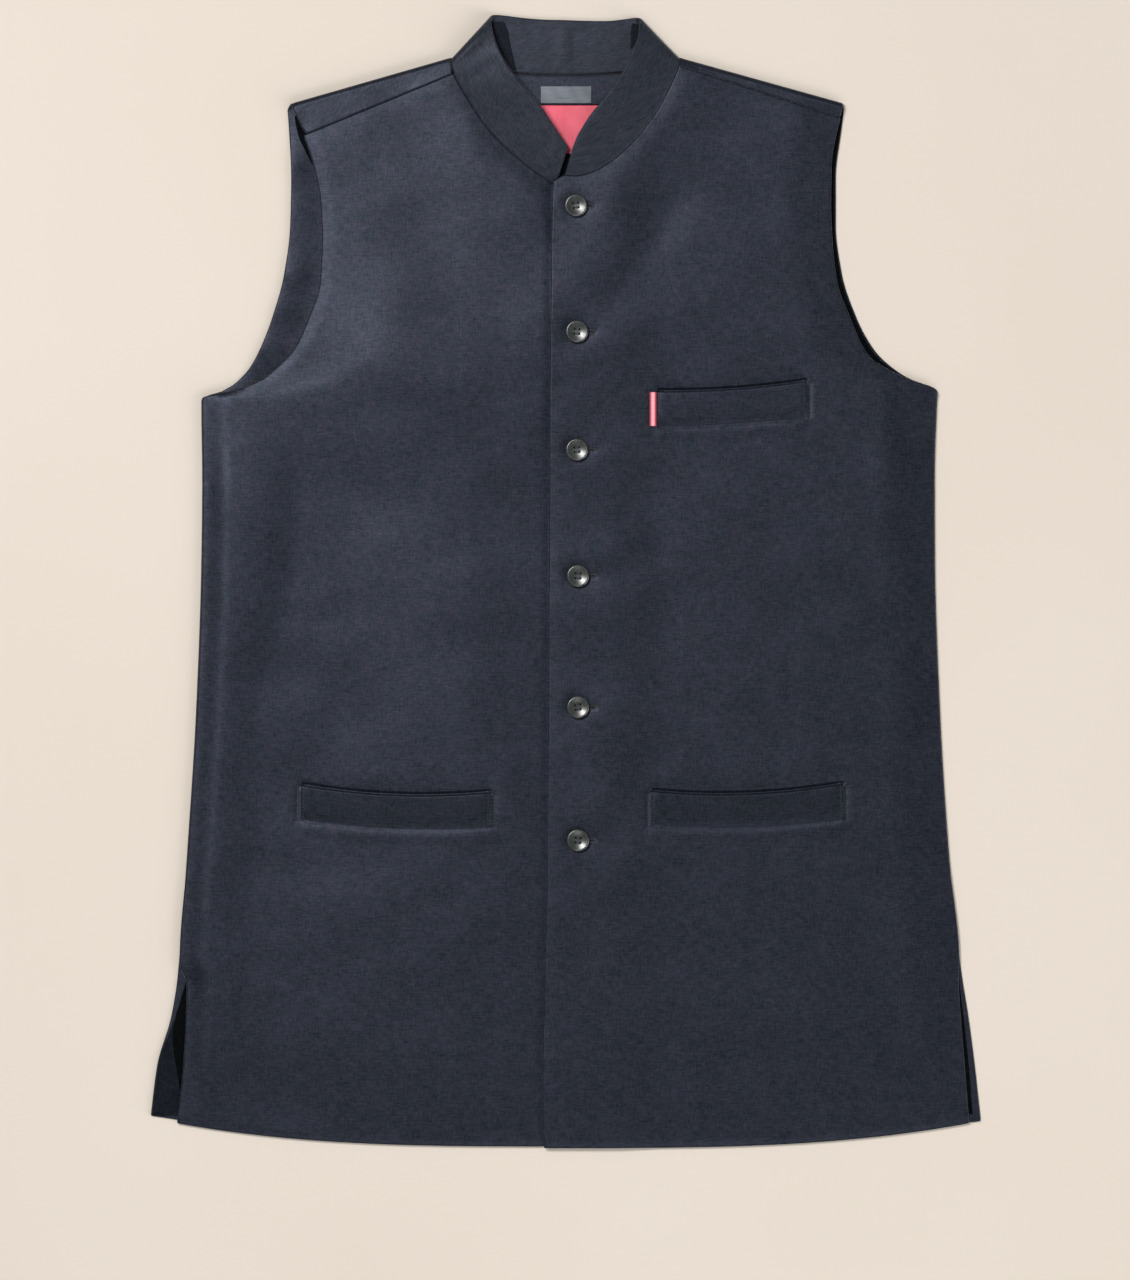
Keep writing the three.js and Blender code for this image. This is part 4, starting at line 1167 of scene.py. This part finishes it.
def button_material():
    n = Nodes("button_resin")
    place = n.place()
    cloud = n.noise(place, 260, 4, 0.6, 1.5)
    n.drive("Base Color", n.ramp(cloud, (0.35, (0.011, 0.015, 0.0145)), (0.75, (0.030, 0.038, 0.0365))))
    n.drive("Roughness", n.maths("MULTIPLY_ADD", n.noise(place, 900), 0.08, 0.25))
    n.set(specular_ior_level=1.0)
    n.bump(n.noise(place, 1400), 0.03, 0.0003)
    return n.material


def thread_material():
    n = Nodes("dark_thread")
    twist = n.noise(n.place(), 2600, 1)
    n.drive("Base Color", n.ramp(twist, (0.3, (0.012, 0.014, 0.02)), (0.7, (0.035, 0.04, 0.052))))
    n.set(roughness=0.6, sheen_weight=0.15)
    n.bump(twist, 0.4, 0.0004)
    return n.material


def floor_material():
    n = Nodes("pale_floor")
    place = n.place()
    cloud = n.noise(place, 2.1, 3)
    n.drive("Base Color", n.ramp(cloud, (0.3, (0.745, 0.668, 0.582)), (0.7, (0.775, 0.70, 0.617))))
    n.set(roughness=0.6, specular_ior_level=0.3)
    n.bump(n.noise(place, 160, 3), 0.02, 0.001)
    return n.material


def dress(obj, material):
    obj.data.materials.clear()
    obj.data.materials.append(material)


# Build
cloth = cloth_material("slubby_cloth", (0.0030, 0.0040, 0.0068), (0.0165, 0.0195, 0.0290), 0.37)
# The collar's copy of the cloth, lighter and less shiny: painted light
collar_cloth_painted_light = cloth_material("collar_cloth_painted_light", (0.0118, 0.0138, 0.0188), (0.0340, 0.0392, 0.0510), 0.225)
# The hip welts' copy of the cloth, darker: painted shade
welt_cloth_painted_shade = cloth_material("welt_cloth_painted_shade", (0.0030, 0.0042, 0.0062), (0.0140, 0.0175, 0.0235), 0.30)
# A near-black copy of the cloth, for sheets of painted shadow
painted_shadow_cloth = cloth_material("painted_shadow_cloth", (0.0012, 0.0015, 0.0018), (0.0050, 0.0058, 0.0070), 0.01)
# A dark navy copy of the cloth, for sheets of painted shade
painted_shade_cloth = cloth_material("painted_shade_cloth", (0.0022, 0.0034, 0.0050), (0.0110, 0.0140, 0.0185), 0.08)
satin = woven_material(
    "lining_satin", (1500, 60), (70, 50), 0.3, (0.74, 0.060, 0.115), (0.98, 0.130, 0.205), (0.3, 0.0006),
    roughness=0.45, sheen_weight=0.15, sheen_roughness=0.3, sheen_tint=(1.0, 0.7, 0.75, 1.0))
label_cloth = woven_material(
    "label_weave", (90, 1900), (60, 90), 0.5, (0.085, 0.100, 0.125), (0.20, 0.225, 0.265), (0.4, 0.0004),
    roughness=0.5, sheen_weight=0.2, sheen_roughness=0.4)
tape, resin, thread = tab_material(), button_material(), thread_material()


def stand_in(piece, material, node, **sheet):
    """Dresses a piece and lets it stand for a node. Its sheet is not used."""
    dress(piece, material)
    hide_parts(node)


for side in ("right", "left"):
    piece, area, size = make_front(side)
    stand_in(piece, cloth, f"front_{side}", flat=size, held="laid", rests_on=["back_cloth"], area=area)

back, area, size = panel("back_cloth", back_outline(), PITCH["back"], back_place, WALL["back"],
                         CLOTH_EDGE, extra=fold_points())
stand_in(back, cloth, "back", flat=size, held="folded", area=area)

# Sheets of painted shadow and painted shade over the back and under the collar
edge_bands = [(name, height, painted_black, edge_band(side, rows))
              for name, side, height, painted_black, rows in EDGE_BANDS]
for name, height, painted_black, outline in edge_bands + COLLAR_BANDS:
    outline = np.array(outline, float)
    piece, area, _ = make_painted_shade_band(name, outline, height)
    dress(piece, painted_shadow_cloth if painted_black else painted_shade_cloth)
    strip_size(outline, area)

stand_in(make_collar(), collar_cloth_painted_light, "collar", flat=(0.40, 0.038), held="folded",
         rests_on=["front_left_cloth", "front_right_cloth"], area=0.0138)

for welt in WELTS:
    width = (welt["x"][1] - welt["x"][0]) * MM
    stand_in(make_welt(welt), cloth if welt["name"] == "welt_chest" else welt_cloth_painted_shade, welt["name"],
             flat=(width, 0.0245), held="laid", rests_on=[f"front_{welt['side']}_cloth"])


def inner_net(half_width, y_low, y_high, wave, columns, rows):
    """A net inside the neck opening, as high as the facing, with a little wave."""
    return flat_net((-half_width, half_width), y_low, y_high,
                    lambda x, y: INSIDE_Z + wave(x, y), columns, rows)


facing = shell("neck_facing_cloth", inner_net(
    FACING["half_width"], constant(FACING["low_y"]), lambda x: back_neck_y(x) - 1.2,
    lambda x, y: 0.12 * np.sin(x / 11) * np.sin((y - 333) / 8), 50, 10), WALL["thin"])
stand_in(facing, cloth, "neck_facing", flat=(0.128, 0.0245), held="laid", rests_on=["back_cloth"],
         area=0.0029)

lining = shell("back_lining_satin", inner_net(
    LINING["half_width"], constant(LINING["low_y"]), constant(FACING["low_y"] - 0.3),
    lambda x, y: 0.3 * np.sin(x / 9 + (y - 264) / 40) * np.sin((y - 264) / 16), 60, 34),
    WALL["thin"])
stand_in(lining, satin, "back_lining", flat=(0.12, 0.069), held="laid", rests_on=["back_cloth"])

LABEL_Z = INSIDE_Z + WALL["thin"] + LAYER_GAP
label = shell("neck_label_plain", flat_net(
    LABEL["x"], constant(LABEL["y"][0]), constant(LABEL["y"][1]),
    lambda x, y: LABEL_Z + 0.2 * np.cos(x / 5.5) + 0.12 * np.sin(x / 1.9 + y / 3), 40, 8), 0.7)
stand_in(label, label_cloth, "neck_label", flat=(0.0344, 0.011), held="laid",
         rests_on=["neck_facing_cloth"])

tab = shell("chest_tab_tape", flat_net(
    TAB["x"], constant(TAB["y"][0]), constant(TAB["y"][1]),
    lambda x, y: front_surface(x, y, "left") + LAYER_GAP + WALL["thin"] / 2, 8, 20), WALL["thin"])
dress(tab, tape)
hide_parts("chest_tab")

for piece in make_buttons():
    dress(piece, thread if piece.name.endswith("_thread") else resin)
dress(buttonhole_stitches(), thread)
dress(pocket_stitches(), thread)

# Floor, light and camera
bpy.ops.mesh.primitive_plane_add(size=8, location=(0, 0, -0.0002))
floor = bpy.context.object
floor.name = "floor"
floor.data.materials.append(floor_material())

world = bpy.data.worlds.new("studio")
bpy.context.scene.world = world
world.use_nodes = True
background = world.node_tree.nodes["Background"].inputs
background["Color"].default_value = (1.0, 0.985, 0.96, 1)
background["Strength"].default_value = 0.18


def area_light(name, place, aim, size, power, colour=(1, 1, 1)):
    """A square light. Places and sizes are in metres, the power in watts."""
    light = bpy.data.lights.new(name, "AREA")
    light.shape = "RECTANGLE"
    light.size = light.size_y = size
    light.energy = power
    light.color = colour
    obj = bpy.data.objects.new(name, light)
    obj.location = place
    obj.rotation_euler = (Vector(aim) - Vector(place)).to_track_quat("-Z", "Y").to_euler()
    bpy.context.collection.objects.link(obj)


area_light("key", (-1.0, 0.98, 3.0), (0, 0, 0), 0.9, 74, (1.0, 0.99, 0.98))
area_light("fill", (2.7, -1.5, 1.5), (0, 0, 0), 2.4, 58)
area_light("low", (0.1, -1.75, 1.9), (0, -0.3, 0), 1.2, 10)

# The camera looks straight down. The photo's height in pixels and the size of a pixel in millimetres
# give its field at the height of the cloth.
PHOTO_HEIGHT, PIXEL_SIZE = 1280, 0.7
FIELD = PHOTO_HEIGHT * PIXEL_SIZE * MM
LENS, SENSOR = 200, 36
CAMERA_AIM = (-0.35, -41.65, 6)
camera_data = bpy.data.cameras.new("camera")
camera_data.sensor_fit = "VERTICAL"
camera_data.sensor_height = camera_data.sensor_width = SENSOR
camera_data.lens = LENS
camera = bpy.data.objects.new("camera", camera_data)
camera.location = Vector(CAMERA_AIM) * MM + Vector((0, 0, FIELD * LENS / SENSOR))
bpy.context.collection.objects.link(camera)
bpy.context.scene.camera = camera
bpy.context.scene.view_settings.view_transform = "Standard"
bpy.context.scene.view_settings.look = "None"
